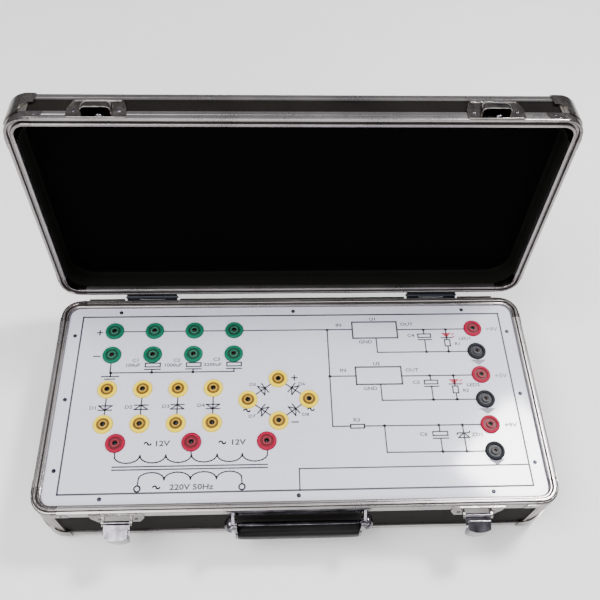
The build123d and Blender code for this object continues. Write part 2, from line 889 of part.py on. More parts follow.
with BuildPart() as inlet_pins:
    with BuildSketch(back_face.offset(inlet_flange - inlet_mouth_depth)):
        with Locations(inlet_place):
            with Locations(
                (-inlet_pin_gap, -inlet_pin_height / 2),
                (inlet_pin_gap, -inlet_pin_height / 2),
                (0, inlet_pin_height / 2),
            ):
                Rectangle(inlet_pin_width, inlet_pin_height)
    extrude(amount=inlet_mouth_depth - inlet_pin_short)

with BuildPart() as rocker_frame:
    with BuildSketch(back_face):
        with Locations(rocker_place):
            Rectangle(rocker_frame_width + 2 * rocker_wall, rocker_frame_height + 2 * rocker_wall)
    extrude(amount=rocker_wall)
    with BuildSketch(back_face):
        with Locations(rocker_place):
            Rectangle(rocker_frame_width, rocker_frame_height)
    extrude(amount=-rocker_frame_depth)
    with BuildSketch(back_face.offset(rocker_wall)):
        with Locations(rocker_place):
            Rectangle(rocker_width + 2 * rocker_gap, rocker_height + 2 * rocker_gap)
    extrude(amount=-rocker_frame_depth, mode=Mode.SUBTRACT)
    with BuildSketch(rocker_pivot):
        Circle(rocker_pin + slip)
    extrude(amount=rocker_frame_width, both=True, mode=Mode.SUBTRACT)

with BuildPart() as mains_rocker:
    with BuildSketch(rocker_pivot):
        with BuildLine():
            Polyline(
                (-rocker_pivot_in, -rocker_height / 4),
                (rocker_pivot_in, -rocker_height / 2),
                (rocker_pivot_in + rocker_proud, rocker_shoulder - rocker_height / 2),
                (rocker_pivot_in + rocker_proud / 2, 0),
                (rocker_pivot_in + rocker_proud, rocker_height / 2 - rocker_shoulder),
                (rocker_pivot_in, rocker_height / 2),
                (-rocker_pivot_in, rocker_height / 4),
                close=True,
            )
        make_face()
    extrude(amount=rocker_width / 2, both=True)
    with BuildSketch(rocker_pivot):
        Circle(rocker_pin)
    extrude(amount=rocker_width / 2 + rocker_gap + rocker_wall, both=True)

# Circuit board with its components, on the floor of the base
pcb_under = floor_top + standoff_height
pcb_level = case.offset(pcb_under + pcb_thickness)

with BuildPart() as board_standoffs:
    with BuildSketch(case.offset(floor_top)):
        with Locations((pcb_x, 0)):
            with GridLocations(pcb_width - 2 * standoff_inset, pcb_depth - 2 * standoff_inset, 2, 2):
                RegularPolygon(standoff_radius, 6)
    extrude(amount=standoff_height)

with BuildPart() as circuit_board:
    with BuildSketch(case.offset(pcb_under)):
        with Locations((pcb_x, 0)):
            RectangleRounded(pcb_width, pcb_depth, pcb_round)
    extrude(amount=pcb_thickness)

with BuildPart() as filter_capacitors:
    with BuildSketch(pcb_level):
        with Locations((pcb_x - pcb_width / 4, pcb_depth / 4)):
            with GridLocations(2 * capacitor_radius + capacitor_gap, 0, 3, 1):
                RegularPolygon(capacitor_radius, capacitor_sides)
        with Locations((pcb_x + pcb_width / 3, 0)):
            with GridLocations(0, 2 * capacitor_radius + capacitor_gap, 1, 3):
                RegularPolygon(capacitor_radius, capacitor_sides)
    extrude(amount=capacitor_height)



def lying_rounds(x, y, radius, length, gap, rows, across, down):
    # Round bodies that lie along x on the circuit board, in rows
    with BuildPart() as bodies:
        for body_x, body_y in grid(x, y, length + gap, rows, across, down):
            start = pcb_level.from_local_coords(Vector(body_x, body_y, radius))
            with BuildSketch(Plane(origin=start, x_dir=pcb_level.y_dir, z_dir=pcb_level.x_dir)):
                RegularPolygon(radius, lead_sides, major_radius=False, rotation=180 / lead_sides)
            extrude(amount=length / 2, both=True)
    return bodies.part


diode_y_middle = -pcb_depth / 5
rectifier_diodes = lying_rounds(
    pcb_x - pcb_width / 4, diode_y_middle, diode_radius, diode_length, diode_length, diode_row_pitch, 4, 2
)
board_resistors = lying_rounds(pcb_x, 0, resistor_radius, resistor_length, resistor_length, 0, 3, 1)

with BuildPart(pcb_level) as voltage_regulators:
    with Locations((pcb_x + regulator_x, heatsink_y), (pcb_x + regulator_x, -heatsink_y)):
        Box(regulator_width, regulator_depth, regulator_body, align=(Align.CENTER, Align.MAX, Align.MIN))
        Box(regulator_width, regulator_tab, regulator_height, align=(Align.CENTER, Align.MIN, Align.MIN))

with BuildPart() as regulator_heatsinks:
    for y in (heatsink_y, -heatsink_y):
        with BuildSketch(pcb_level):
            with Locations((pcb_x + regulator_x, y + regulator_tab)):
                Rectangle(heatsink_width, heatsink_plate, align=(Align.CENTER, Align.MIN))
                with Locations((0, heatsink_plate)):
                    with GridLocations(heatsink_width / heatsink_fins, 0, heatsink_fins, 1):
                        Rectangle(heatsink_fin_thickness, heatsink_fin, align=(Align.CENTER, Align.MIN))
        extrude(amount=heatsink_height)

# Transformer: laminated core, winding, and the strap that holds it down
core_level = case.offset(floor_top)
window_height = core_height - 2 * core_yoke

with BuildPart() as transformer_core:
    with BuildSketch(Plane(origin=core_level.from_local_coords(Vector(core_x, core_y, 0)), x_dir=(1, 0, 0), z_dir=(0, -1, 0))):
        Rectangle(core_width, core_height, align=(Align.CENTER, Align.MIN))
        with Locations((-core_window_x, core_yoke), (core_window_x, core_yoke)):
            Rectangle(core_window, window_height, align=(Align.CENTER, Align.MIN), mode=Mode.SUBTRACT)
    extrude(amount=core_depth / 2, both=True)

with BuildPart() as transformer_winding:
    with BuildSketch(core_level.offset(core_yoke)):
        with Locations((core_x, core_y)):
            RectangleRounded(core_limb + 2 * winding_wall, core_depth + 2 * winding_wall, winding_wall / 2)
            Rectangle(core_limb, core_depth, mode=Mode.SUBTRACT)
    extrude(amount=window_height)

with BuildPart() as transformer_bracket:
    with BuildSketch(Plane(origin=core_level.from_local_coords(Vector(core_x, core_y, 0)), x_dir=(1, 0, 0), z_dir=(0, -1, 0))):
        strap_half = core_width / 2 + bracket_metal
        strip(-strap_half - bracket_leg, strap_half + bracket_leg, 0, bracket_metal)
        strip(-strap_half, strap_half, 0, core_height + bracket_metal)
        Rectangle(core_width, core_height, align=(Align.CENTER, Align.MIN), mode=Mode.SUBTRACT)
    extrude(amount=core_depth / 2 - bracket_inset, both=True)

pieces = {
    "base_floor_board": base_floor_board.part,
    "base_front_board": base_front_board.part,
    "base_side_boards": base_side_boards.part,
    "base_back_board": base_back_board.part,
    "base_bottom_rails": base_bottom_rails.part,
    "base_corner_posts": base_corner_posts.part,
    "base_rim_rails": base_rim_rails.part,
    "base_rim_corners": base_rim_corners.part,
    "base_bottom_corners": base_bottom_corners,
    "rubber_feet": rubber_feet.part,
    "lid_roof_board": lid_roof_board.part,
    "lid_wall_boards": lid_wall_boards.part,
    "lid_roof_rails": lid_roof_rails.part,
    "lid_corner_posts": lid_corner_posts.part,
    "lid_rim_rails": lid_rim_rails.part,
    "lid_rim_corners": lid_rim_corners.part,
    "lid_roof_corners": lid_roof_corners,
    "lid_lining": lid_lining.part,
    "faceplate": faceplate.part,
    "faceplate_screws": faceplate_screws.part,
    "panel_battens": panel_battens.part,
    "green_sockets": green_sockets,
    "yellow_sockets": yellow_sockets,
    "red_sockets": red_sockets,
    "black_sockets": black_sockets,
    "socket_sleeves": socket_sleeves.part,
    "hinge_base_leaves": hinge_base_leaves.part,
    "hinge_lid_leaves": hinge_lid_leaves.part,
    "hinge_pins": hinge_pins.part,
    "handle_plate": handle_plate.part,
    "handle_pins": handle_pins.part,
    "handle_arms": handle_arms.part,
    "handle_grip": handle_grip.part,
    "latch_plates": latch_plates.part,
    "latch_pins": latch_pins.part,
    "left_latch_strap": left_latch_strap,
    "right_latch_strap": right_latch_strap,
    "left_thumb_lever": left_thumb_lever,
    "right_thumb_lever": right_thumb_lever,
    "catch_plates": catch_plates.part,
    "mains_inlet": mains_inlet.part,
    "inlet_pins": inlet_pins.part,
    "rocker_frame": rocker_frame.part,
    "mains_rocker": mains_rocker.part,
    "board_standoffs": board_standoffs.part,
    "circuit_board": circuit_board.part,
    "filter_capacitors": filter_capacitors.part,
    "rectifier_diodes": rectifier_diodes,
    "board_resistors": board_resistors,
    "voltage_regulators": voltage_regulators.part,
    "regulator_heatsinks": regulator_heatsinks.part,
    "transformer_core": transformer_core.part,
    "transformer_winding": transformer_winding.part,
    "transformer_bracket": transformer_bracket.part,
}
for name, piece in pieces.items():
    piece.label = name
    export_step(piece, f"parts/{name}.step")
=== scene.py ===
import json
import math
import bpy
from mathutils import Matrix, Vector

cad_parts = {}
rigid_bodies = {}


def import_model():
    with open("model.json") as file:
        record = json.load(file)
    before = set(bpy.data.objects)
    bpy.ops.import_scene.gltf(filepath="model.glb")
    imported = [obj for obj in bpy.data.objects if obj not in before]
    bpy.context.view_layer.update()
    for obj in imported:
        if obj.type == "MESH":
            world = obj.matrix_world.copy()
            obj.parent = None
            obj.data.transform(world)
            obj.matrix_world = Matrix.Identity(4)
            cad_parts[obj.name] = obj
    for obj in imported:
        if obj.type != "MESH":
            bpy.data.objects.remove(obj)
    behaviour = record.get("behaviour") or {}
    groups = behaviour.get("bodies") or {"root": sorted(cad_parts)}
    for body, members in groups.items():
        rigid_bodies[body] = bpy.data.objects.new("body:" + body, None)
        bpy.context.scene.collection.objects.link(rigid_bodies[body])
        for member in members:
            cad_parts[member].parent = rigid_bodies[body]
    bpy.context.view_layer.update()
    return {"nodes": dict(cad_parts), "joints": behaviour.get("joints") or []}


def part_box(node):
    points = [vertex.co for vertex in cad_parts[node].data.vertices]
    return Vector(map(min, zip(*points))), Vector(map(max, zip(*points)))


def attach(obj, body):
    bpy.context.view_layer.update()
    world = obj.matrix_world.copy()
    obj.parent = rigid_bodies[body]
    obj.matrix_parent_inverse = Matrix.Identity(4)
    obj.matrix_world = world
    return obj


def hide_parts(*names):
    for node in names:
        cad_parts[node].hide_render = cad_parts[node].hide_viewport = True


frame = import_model()
cadNodes = frame["nodes"]
joints = {joint["name"]: joint for joint in frame["joints"]}
bpy.ops.object.select_all(action="DESELECT")
print("frame loaded:", len(cadNodes), "nodes")

# Sizes are in millimetres from here on, and the frame's own are turned into them
mm = 0.001
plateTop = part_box("faceplate")[1].z
railLow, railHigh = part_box("base_rim_rails")
caseMiddle = (railLow.y + railHigh.y) / 2
halfWidth = railHigh.x / mm
halfDepth = (railHigh.y - railLow.y) / 2 / mm


def moved(x, y, z=0):
    return Matrix.Translation(Vector((x, y, z)) * mm)


def turned(degrees, axis):
    return Matrix.Rotation(math.radians(degrees), 4, axis)


def placed(level, spots, turn=0, axis="X"):
    return [level @ moved(*spot) @ turned(turn, axis) for spot in spots]


# The lid is drawn shut, on the base, and then turned open about its hinge
caseShape = {"baseHeight": 64, "lidHeight": 32, "open": 95, "gap": 0.15}
hingePoint = Vector(joints["lid_hinge"]["pos_m"])
rimLevel = hingePoint.z - caseShape["gap"] * mm
lidFrame = (
    Matrix.Translation(hingePoint)
    @ turned(-caseShape["open"], "X")
    @ Matrix.Translation((0, caseMiddle - hingePoint.y, caseShape["gap"] * mm))
)
baseFrame = Matrix.Translation((0, caseMiddle, rimLevel))
panelFrame = Matrix.Translation((0, caseMiddle, plateTop))
bottomFrame = baseFrame @ moved(0, 0, -caseShape["baseHeight"])
roofFrame = lidFrame @ moved(0, 0, caseShape["lidHeight"]) @ turned(180, "X")


# Camera, at the photograph's viewing angle
cameraView = {
    "place": (-24.7, -305.8, 673.2), "turn": (32.052, -1.86, -1.789), "lens": 42.563, "sensor": 36,
    "shift": 0.025, "nearest": 0.01,
}
bpy.ops.object.camera_add(
    location=[v * mm for v in cameraView["place"]],
    rotation=[math.radians(v) for v in cameraView["turn"]],
)
camera = bpy.context.object
camera.name = "photoCamera"
camera.data.lens = cameraView["lens"]
camera.data.sensor_width = cameraView["sensor"]
camera.data.shift_y = cameraView["shift"]
camera.data.clip_start = cameraView["nearest"]
bpy.context.scene.camera = camera


# Shared effects, each a group of shader nodes
def newGroup(name, output, **inputs):
    # Its inputs come with their usual values, three numbers for a vector
    group = bpy.data.node_groups.new(name, "ShaderNodeTree")
    for label, value in inputs.items():
        kind = "NodeSocketVector" if isinstance(value, tuple) else "NodeSocketFloat"
        socket = group.interface.new_socket(name=label, in_out="INPUT", socket_type=kind)
        socket.default_value = value
    group.interface.new_socket(name=output, in_out="OUTPUT", socket_type="NodeSocketFloat")
    return group, group.nodes.new("NodeGroupInput").outputs, group.nodes.new("NodeGroupOutput").inputs


def addNode(tree, kind, values=None, **settings):
    node = tree.nodes.new("ShaderNode" + kind)
    for key, value in settings.items():
        setattr(node, key, value)
    for key, value in (values or {}).items():
        node.inputs[key].default_value = value
    return node


def addRamp(tree, low, high, lowest=0, highest=1):
    span = {"From Min": low, "From Max": high, "To Min": lowest, "To Max": highest}
    return addNode(tree, "MapRange", span)


def wire(tree, *pairs):
    for start, end in pairs:
        tree.links.new(start, end)


def brokenUp(group, source, scale, amount, result, look):
    # A mask broken up by a soft noise, times an amount
    coords = addNode(group, "TexCoord")
    noise = addNode(group, "TexNoise", {"Detail": look["detail"]})
    patchy = addRamp(group, look["thin"], look["full"])
    both = addNode(group, "Math", operation="MULTIPLY")
    mask = addNode(group, "Math", operation="MULTIPLY", use_clamp=True)
    wire(
        group,
        (coords.outputs["Object"], noise.inputs["Vector"]), (scale, noise.inputs["Scale"]),
        (noise.outputs[0], patchy.inputs["Value"]), (source, both.inputs[0]),
        (patchy.outputs[0], both.inputs[1]), (both.outputs[0], mask.inputs[0]), (amount, mask.inputs[1]),
        (mask.outputs[0], result))


def makeEdgeWearAndHighlight():
    # Where a narrow bevel would turn the normal, broken up by a coarse noise; the colour laid there is wear,
    # and on the bright and catch plating it is painted highlight
    wearAndHighlightLook = {"samples": 4, "detail": 4, "flat": 0.995, "sharp": 0.8, "thin": 0.35, "full": 0.65}
    group, given, result = newGroup("edgeWearAndHighlight", "Mask", Width=0.6 * mm, Strength=1.0, Breakup=90.0)
    bevel = addNode(group, "Bevel", samples=wearAndHighlightLook["samples"])
    place = addNode(group, "NewGeometry")
    align = addNode(group, "VectorMath", operation="DOT_PRODUCT")
    bent = addRamp(group, wearAndHighlightLook["flat"], wearAndHighlightLook["sharp"])
    wire(
        group,
        (given["Width"], bevel.inputs["Radius"]), (bevel.outputs["Normal"], align.inputs[0]),
        (place.outputs["Normal"], align.inputs[1]), (align.outputs["Value"], bent.inputs["Value"]))
    brokenUp(group, bent.outputs[0], given["Breakup"], given["Strength"], result["Mask"], wearAndHighlightLook)
    return group


def makeGrain():
    # Fine noise that may be drawn out along one direction, for brushed metal, laminate and moulded skin, and
    # for the painted reflection bands on the bright plating
    group, given, result = newGroup("grain", "Value", Scale=400.0, Stretch=(1, 1, 1), Detail=3.0)
    coords = addNode(group, "TexCoord")
    stretched = addNode(group, "VectorMath", operation="MULTIPLY")
    noise = addNode(group, "TexNoise")
    wire(
        group,
        (coords.outputs["Object"], stretched.inputs[0]), (given["Stretch"], stretched.inputs[1]),
        (stretched.outputs[0], noise.inputs["Vector"]), (given["Scale"], noise.inputs["Scale"]),
        (given["Detail"], noise.inputs["Detail"]), (noise.outputs[0], result["Value"]))
    return group


def makeDust():
    # Dust that settles on faces that look up, in soft patches
    dustLook = {"steepest": 0.3, "level": 1, "detail": 6, "thin": 0.4, "full": 0.8}
    group, given, result = newGroup("dust", "Mask", Amount=0.3, Patch=18.0)
    place = addNode(group, "NewGeometry")
    split = addNode(group, "SeparateXYZ")
    upward = addRamp(group, dustLook["steepest"], dustLook["level"])
    wire(
        group,
        (place.outputs["Normal"], split.inputs[0]), (split.outputs["Z"], upward.inputs["Value"]))
    brokenUp(group, upward.outputs[0], given["Patch"], given["Amount"], result["Mask"], dustLook)
    return group


wearAndHighlightGroup = makeEdgeWearAndHighlight()
grainGroup = makeGrain()
dustGroup = makeDust()


def paint(code):
    # A web colour as the linear value that a shader takes
    parts = [int(code[i:i + 2], 16) / 255 for i in (1, 3, 5)]
    return [p / 12.92 if p <= 0.04045 else ((p + 0.055) / 1.055) ** 2.4 for p in parts] + [1]


def placeGroup(tree, group, **values):
    node = tree.nodes.new("ShaderNodeGroup")
    node.node_tree = group
    for label, value in values.items():
        node.inputs[label].default_value = value
    return node


def mixColor(tree, mask, under, over):
    # Lays one colour over another by a mask; the one under it is a colour or what a node gives
    mix = addNode(tree, "Mix", {7: over}, data_type="RGBA")
    tree.links.new(mask, mix.inputs[0])
    if isinstance(under, list):
        mix.inputs[6].default_value = under
    else:
        tree.links.new(under, mix.inputs[6])
    return mix.outputs[2]


noiseSpan = (0.3, 0.7)  # most of a noise lies between these
dustColor = "#a8a49c"


def makeFinish(
        name, color, shade, rough, grain, spread=0.2, metal=0, gloss=0.5, coat=0, coatRough=0.15,
        stretch=(1, 1, 1), patch=25, bump=0.1, depth=0.2, wearAndHighlight=0.5, wearAndHighlightWidth=0.5, wearAndHighlightColor=None, dust=0.1):
    # Shade is the colour of its darker patches, which the bright plating draws out into painted reflection
    # bands; the colour on worn edges is painted highlight on the bright and catch plating; rough varies by
    # spread; depth is the bump's, in mm
    material = bpy.data.materials.new(name)
    material.use_nodes = True
    tree = material.node_tree
    shader = tree.nodes["Principled BSDF"].inputs
    shader["Metallic"].default_value = metal
    shader["Specular IOR Level"].default_value = gloss
    shader["Coat Weight"].default_value = coat
    shader["Coat Roughness"].default_value = coatRough
    fine = placeGroup(tree, grainGroup, Scale=grain, Stretch=stretch)
    broad = placeGroup(tree, grainGroup, Scale=patch, Detail=5.0)
    mixed = addNode(tree, "Math", operation="ADD")
    half = addNode(tree, "Math", {1: 0.5}, operation="MULTIPLY")
    patchAndReflectionTone = addRamp(tree, *noiseSpan)
    roughness = addRamp(tree, *noiseSpan, rough * (1 - spread), min(1, rough * (1 + spread)))
    wornAndHighlit = placeGroup(tree, wearAndHighlightGroup, Width=wearAndHighlightWidth * mm, Strength=wearAndHighlight)
    settled = placeGroup(tree, dustGroup, Amount=dust)
    relief = addNode(tree, "Bump", {"Strength": bump, "Distance": depth * mm})
    # Darker patches, drawn out into painted reflection bands on the bright plating, then worn edges that are
    # painted highlight on the bright and catch plating, then dust
    surface = mixColor(tree, patchAndReflectionTone.outputs[0], paint(shade), paint(color))
    surface = mixColor(tree, wornAndHighlit.outputs[0], surface, paint(wearAndHighlightColor or color))
    surface = mixColor(tree, settled.outputs[0], surface, paint(dustColor))
    wire(
        tree,
        (fine.outputs[0], mixed.inputs[0]), (broad.outputs[0], mixed.inputs[1]),
        (mixed.outputs[0], half.inputs[0]), (half.outputs[0], patchAndReflectionTone.inputs["Value"]),
        (half.outputs[0], roughness.inputs["Value"]), (fine.outputs[0], relief.inputs["Height"]),
        (surface, shader["Base Color"]), (roughness.outputs[0], shader["Roughness"]),
        (relief.outputs[0], shader["Normal"]))
    return material


finishes = {
    "edges": makeFinish(
        "warmAluminium", "#a29d9d", "#7a7575", 0.3, 900, metal=0.97, bump=0.12, wearAndHighlight=0.4,
        wearAndHighlightColor="#dedad9", dust=0.08),
    # Dark strips in the rims' grooves: painted shade along the grooves
    "paintedGrooveShade": makeFinish("grooveGrime", "#35302d", "#221e1c", 0.7, 700, metal=0.2),
    "corners": makeFinish(
        "castCorners", "#968f8f", "#5c5454", 0.18, 420, metal=1, bump=0.12, wearAndHighlight=0.6, wearAndHighlightColor="#f1eeec",
        spread=0.4, dust=0.04),
    "posts": makeFinish(
        "ribbedAluminium", "#9b958f", "#6c6661", 0.36, 900, metal=0.9, wearAndHighlight=0.7, wearAndHighlightColor="#d9d5cf",
        dust=0.1),
    "caps": makeFinish(
        "cornerCaps", "#86807c", "#4e4946", 0.24, 350, metal=1, wearAndHighlight=0.7, wearAndHighlightColor="#e2dfdb", spread=0.4,
        dust=0.1),
    # Its dark streaks along the parts are painted reflection bands, and its near-white worn edges are
    # painted highlight
    "bright": makeFinish(
        "brightPlating", "#827e85", "#2d2a31", 0.11, 150, metal=1, patch=90, stretch=(1.2, 0.4, 0.12),
        bump=0.03, wearAndHighlight=0.6, wearAndHighlightColor="#f8f7f8", spread=0.4, dust=0.02),
    # Its near-white worn edges are painted highlight
    "catch": makeFinish(
        "catchPlating", "#8d8783", "#3e3936", 0.16, 200, metal=1, patch=70, bump=0.08, wearAndHighlight=1,
        wearAndHighlightWidth=0.7, wearAndHighlightColor="#f3f0ed", spread=0.5, dust=0.04),
    "dark": makeFinish(
        "darkSteel", "#22242f", "#12131a", 0.35, 300, metal=0.7, wearAndHighlight=0.4, wearAndHighlightColor="#5d606c",
        dust=0.06),
    "board": makeFinish(
        "darkLaminate", "#1c1a18", "#12100f", 0.6, 700, bump=0.3, depth=0.3, gloss=0.025, wearAndHighlight=0.3,
        wearAndHighlightColor="#3c3732", dust=0.008),
    "lining": makeFinish(
        "blackLining", "#040304", "#020202", 0.95, 1400, bump=0.4, depth=0.4, gloss=0.02, wearAndHighlight=0, dust=0),
    # A lighter copy of the lining for its walls: painted light on the sides
    "litLiningWall": makeFinish(
        "litLiningWall", "#0d0d0a", "#070706", 0.9, 1400, bump=0.4, depth=0.4, gloss=0.06, wearAndHighlight=0, dust=0),
    "wood": makeFinish("sawnBatten", "#b08a5a", "#7d5c37", 0.7, 300, stretch=(0.1, 1, 1), bump=0.4),
    "panel": makeFinish(
        "palePanel", "#d3d3e2", "#cbcbda", 0.42, 260, patch=9, bump=0.01, coat=1.0, coatRough=0.09,
        wearAndHighlight=0.2, wearAndHighlightColor="#e6e6ee", dust=0.01),
    "socketMetal": makeFinish("socketMetal", "#7a6a55", "#54452f", 0.3, 300, metal=1, dust=0.02),
    # Dark metal for the sockets' tubes: painted shade in the holes
    "paintedHoleShade": makeFinish("paintedHoleShade", "#2c2019", "#15100c", 0.4, 300, metal=0.6, wearAndHighlight=0, dust=0),
    "grip": makeFinish(
        "gripPlastic", "#0f0e11", "#070708", 0.3, 800, bump=0.25, gloss=0.06, wearAndHighlight=0.2,
        wearAndHighlightColor="#2b2a2f", dust=0.03),
    "rubber": makeFinish("footRubber", "#1c1c1c", "#121212", 0.8, 600, bump=0.3, gloss=0.3),
    "screws": makeFinish(
        "smallScrews", "#3a3b47", "#1f2029", 0.3, 300, metal=0.9, wearAndHighlight=0.3, wearAndHighlightColor="#8c8d97",
        dust=0.02),
    "inlet": makeFinish(
        "inletPlastic", "#1b1b1d", "#111113", 0.4, 700, bump=0.2, wearAndHighlight=0.3, wearAndHighlightColor="#3d3d40"),
    "rocker": makeFinish(
        "rockerPlastic", "#26262a", "#18181b", 0.25, 400, coat=0.3, wearAndHighlight=0.3, wearAndHighlightColor="#4e4e53"),
    "laminate": makeFinish("boardLaminate", "#3d6b3c", "#2d522c", 0.4, 500),
    "component": makeFinish("componentBodies", "#27314f", "#1a2138", 0.35, 400),
    "sink": makeFinish("heatSink", "#9a9b9e", "#7c7d80", 0.4, 500, metal=1),
    "core": makeFinish("coreSteel", "#6c6a68", "#4a4846", 0.5, 500, metal=0.9, stretch=(1, 1, 6)),
    "copper": makeFinish("copperWinding", "#a8603a", "#7d4426", 0.35, 600, metal=0.9, stretch=(1, 1, 8)),
}
# Inks: the material's name, color and shade
inkTones = {
    "ink": ("darkInk", "#2b2a38", "#201f2b"),
    "fadedInk": ("fadedInk", "#4b4a58", "#3d3c49"),
    "paleInk": ("paleInk", "#85848f", "#757480"),
    "pinkInk": ("pinkInk", "#bb2648", "#a51d3c"),
}
for key, tones in inkTones.items():
    finishes[key] = makeFinish(*tones, 0.5, 900, wearAndHighlight=0)
# Socket plastics: color, shade and color where rubbed, of the flange, of its collar and of the recess ring,
# whose darker colours are painted shade
socketTones = {
    "green": [
        ("#08684e", "#05523c", "#4fae8c"), ("#1c6f55", "#0d4c39", "#8fc3ae"),
        ("#06412e", "#032a1e", "#1c6f55")],
    "yellow": [
        ("#f4d60c", "#e9c806", "#fbeb86"), ("#c39d2c", "#9a741a", "#e3c15e"),
        ("#7a5710", "#4e3507", "#b78a24")],
    "red": [
        ("#a00b36", "#86082a", "#ea8598"), ("#a02038", "#6e0f20", "#d98b98"),
        ("#6a0c1b", "#470611", "#a02038")],
    "black": [
        ("#181922", "#0f1016", "#6d707d"), ("#3a3c47", "#24252d", "#9a9ca6"),
        ("#101117", "#08080c", "#3a3c47")],
}
socketWear = {"": 0.12, "Ring": 0.35, "RecessPaintedShade": 0.35}  # and the gloss, where it has none of its own
socketGloss = {"yellow": 0.1, "yellowRing": 0.3}
for colour, tones in socketTones.items():
    for part, (color, shade, rubbed) in zip(socketWear, tones):
        key = colour + part
        finishes[key] = makeFinish(
            key + "Plastic", color, shade, 0.55 if key == "yellow" else 0.42, 300, bump=0.03, dust=0.01,
            gloss=socketGloss.get(key, socketWear[part]), wearAndHighlight=socketWear[part], wearAndHighlightColor=rubbed)
print("finishes made:", len(finishes))

nodeFinishes = {
    "edges": ["base_bottom_rails", "base_rim_rails", "lid_roof_rails", "lid_rim_rails"],
    "corners": ["base_rim_corners", "lid_rim_corners"],
    "posts": ["base_corner_posts", "lid_corner_posts"],
    "caps": ["base_bottom_corners", "lid_roof_corners"],
    "board": [
        "base_floor_board", "base_front_board", "base_side_boards", "base_back_board",
        "lid_roof_board", "lid_wall_boards"],
    "catch": ["catch_plates", "latch_plates"],
    "bright": [
        "latch_pins", "left_latch_strap", "right_latch_strap", "left_thumb_lever", "right_thumb_lever",
        "handle_plate", "handle_pins", "handle_arms"],
    "dark": ["hinge_base_leaves", "hinge_lid_leaves", "hinge_pins"],
    "lining": ["lid_lining"],
    "wood": ["panel_battens"],
    "panel": ["faceplate"],
    "green": ["green_sockets"],
    "yellow": ["yellow_sockets"],
    "red": ["red_sockets"],
    "black": ["black_sockets"],
    "socketMetal": ["socket_sleeves", "inlet_pins"],
    "screws": ["faceplate_screws"],
    "grip": ["handle_grip"],
    "rubber": ["rubber_feet"],
    "inlet": ["mains_inlet", "rocker_frame"],
    "rocker": ["mains_rocker"],
    "laminate": ["circuit_board", "board_standoffs"],
    "component": ["filter_capacitors", "rectifier_diodes", "board_resistors", "voltage_regulators"],
    "sink": ["regulator_heatsinks", "transformer_bracket"],
    "core": ["transformer_core"],
    "copper": ["transformer_winding"],
}
for finish, names in nodeFinishes.items():
    for name in names:
        for slot in cadNodes[name].material_slots:
            slot.material = finishes[finish]
print("solids finished")


doublesApart = 1e-6  # metres; corners nearer than this are merged


def beginPiece(name):
    # An empty mesh at the origin, open in edit mode
    bpy.ops.object.select_all(action="DESELECT")
    bpy.ops.object.add(type="MESH", enter_editmode=True)
    bpy.ops.mesh.select_mode(type="VERT")
    piece = bpy.context.object
    piece.name = name
    return piece


def endPiece(piece, finish, angle=35):
    bpy.ops.mesh.select_mode(type="VERT")
    bpy.ops.mesh.select_all(action="SELECT")
    bpy.ops.mesh.remove_doubles(threshold=doublesApart)
    bpy.ops.mesh.normals_make_consistent(inside=False)
    bpy.ops.object.mode_set(mode="OBJECT")
    piece.data.materials.append(finishes[finish])
    bpy.ops.object.shade_smooth_by_angle(angle=math.radians(angle))
    return piece


def drawLine(points):
    # Drawn corner by corner from a small triangle that is merged into the first point
    bpy.ops.mesh.select_mode(type="VERT")
    bpy.ops.mesh.select_all(action="DESELECT")
    bpy.ops.mesh.primitive_circle_add(vertices=3, radius=mm, location=Vector(points[0]) * mm)
    bpy.ops.mesh.merge(type="CENTER")
    for here, there in zip(points, points[1:]):
        pull(*(Vector(there) - Vector(here)))
    bpy.ops.mesh.select_linked()


def drawFace(points):
    drawLine(points)
    bpy.ops.mesh.edge_face_add()


def pull(x, y, z):
    bpy.ops.mesh.extrude_region_move(TRANSFORM_OT_translate={"value": Vector((x, y, z)) * mm})


def addCube(middle, size, turn=0):
    bpy.ops.mesh.primitive_cube_add(
        size=1, location=Vector(middle) * mm, rotation=(0, 0, turn), scale=Vector(size) * mm)


def scaled(x, y, z, about):
    bpy.ops.transform.resize(value=(x, y, z), center_override=Vector(about) * mm)


squarely = 0.9  # a face looks along an axis when its normal goes this far along it


def pick(piece, kind, test):
    # Selects the edges or faces that pass a test on their places in mm
    bpy.ops.object.mode_set(mode="OBJECT")
    mesh = piece.data
    spots = [v.co / mm for v in mesh.vertices]
    for part in (*mesh.vertices, *mesh.edges, *mesh.polygons):
        part.select = False
    if kind == "EDGE":
        for edge in mesh.edges:
            edge.select = test(spots[edge.vertices[0]], spots[edge.vertices[1]])
    if kind == "FACE":
        for face in mesh.polygons:
            face.select = test(face.center / mm, face.normal)
    bpy.context.tool_settings.mesh_select_mode = [kind == k for k in ("VERT", "EDGE", "FACE")]
    bpy.ops.object.mode_set(mode="EDIT")


def applied(piece, name, kind, **settings):
    bpy.context.view_layer.objects.active = piece
    bpy.ops.object.mode_set(mode="OBJECT")
    modifier = piece.modifiers.new(name, kind)
    for key, value in settings.items():
        setattr(modifier, key, value)
    bpy.ops.object.modifier_apply(modifier=modifier.name)
    return piece


def softEdges(piece, width):
    sharpest = math.radians(40)  # an edge that turns more than this is rounded
    return applied(
        piece, "softEdges", "BEVEL", width=width * mm, segments=2, limit_method="ANGLE",
        angle_limit=sharpest)


def thickened(piece, thickness, offset):
    return applied(
        piece, "wall", "SOLIDIFY", thickness=thickness * mm, offset=offset, use_even_offset=True)


def prism(name, points, pulled, finish):
    piece = beginPiece(name)
    drawFace(points)
    pull(*pulled)
    return endPiece(piece, finish)


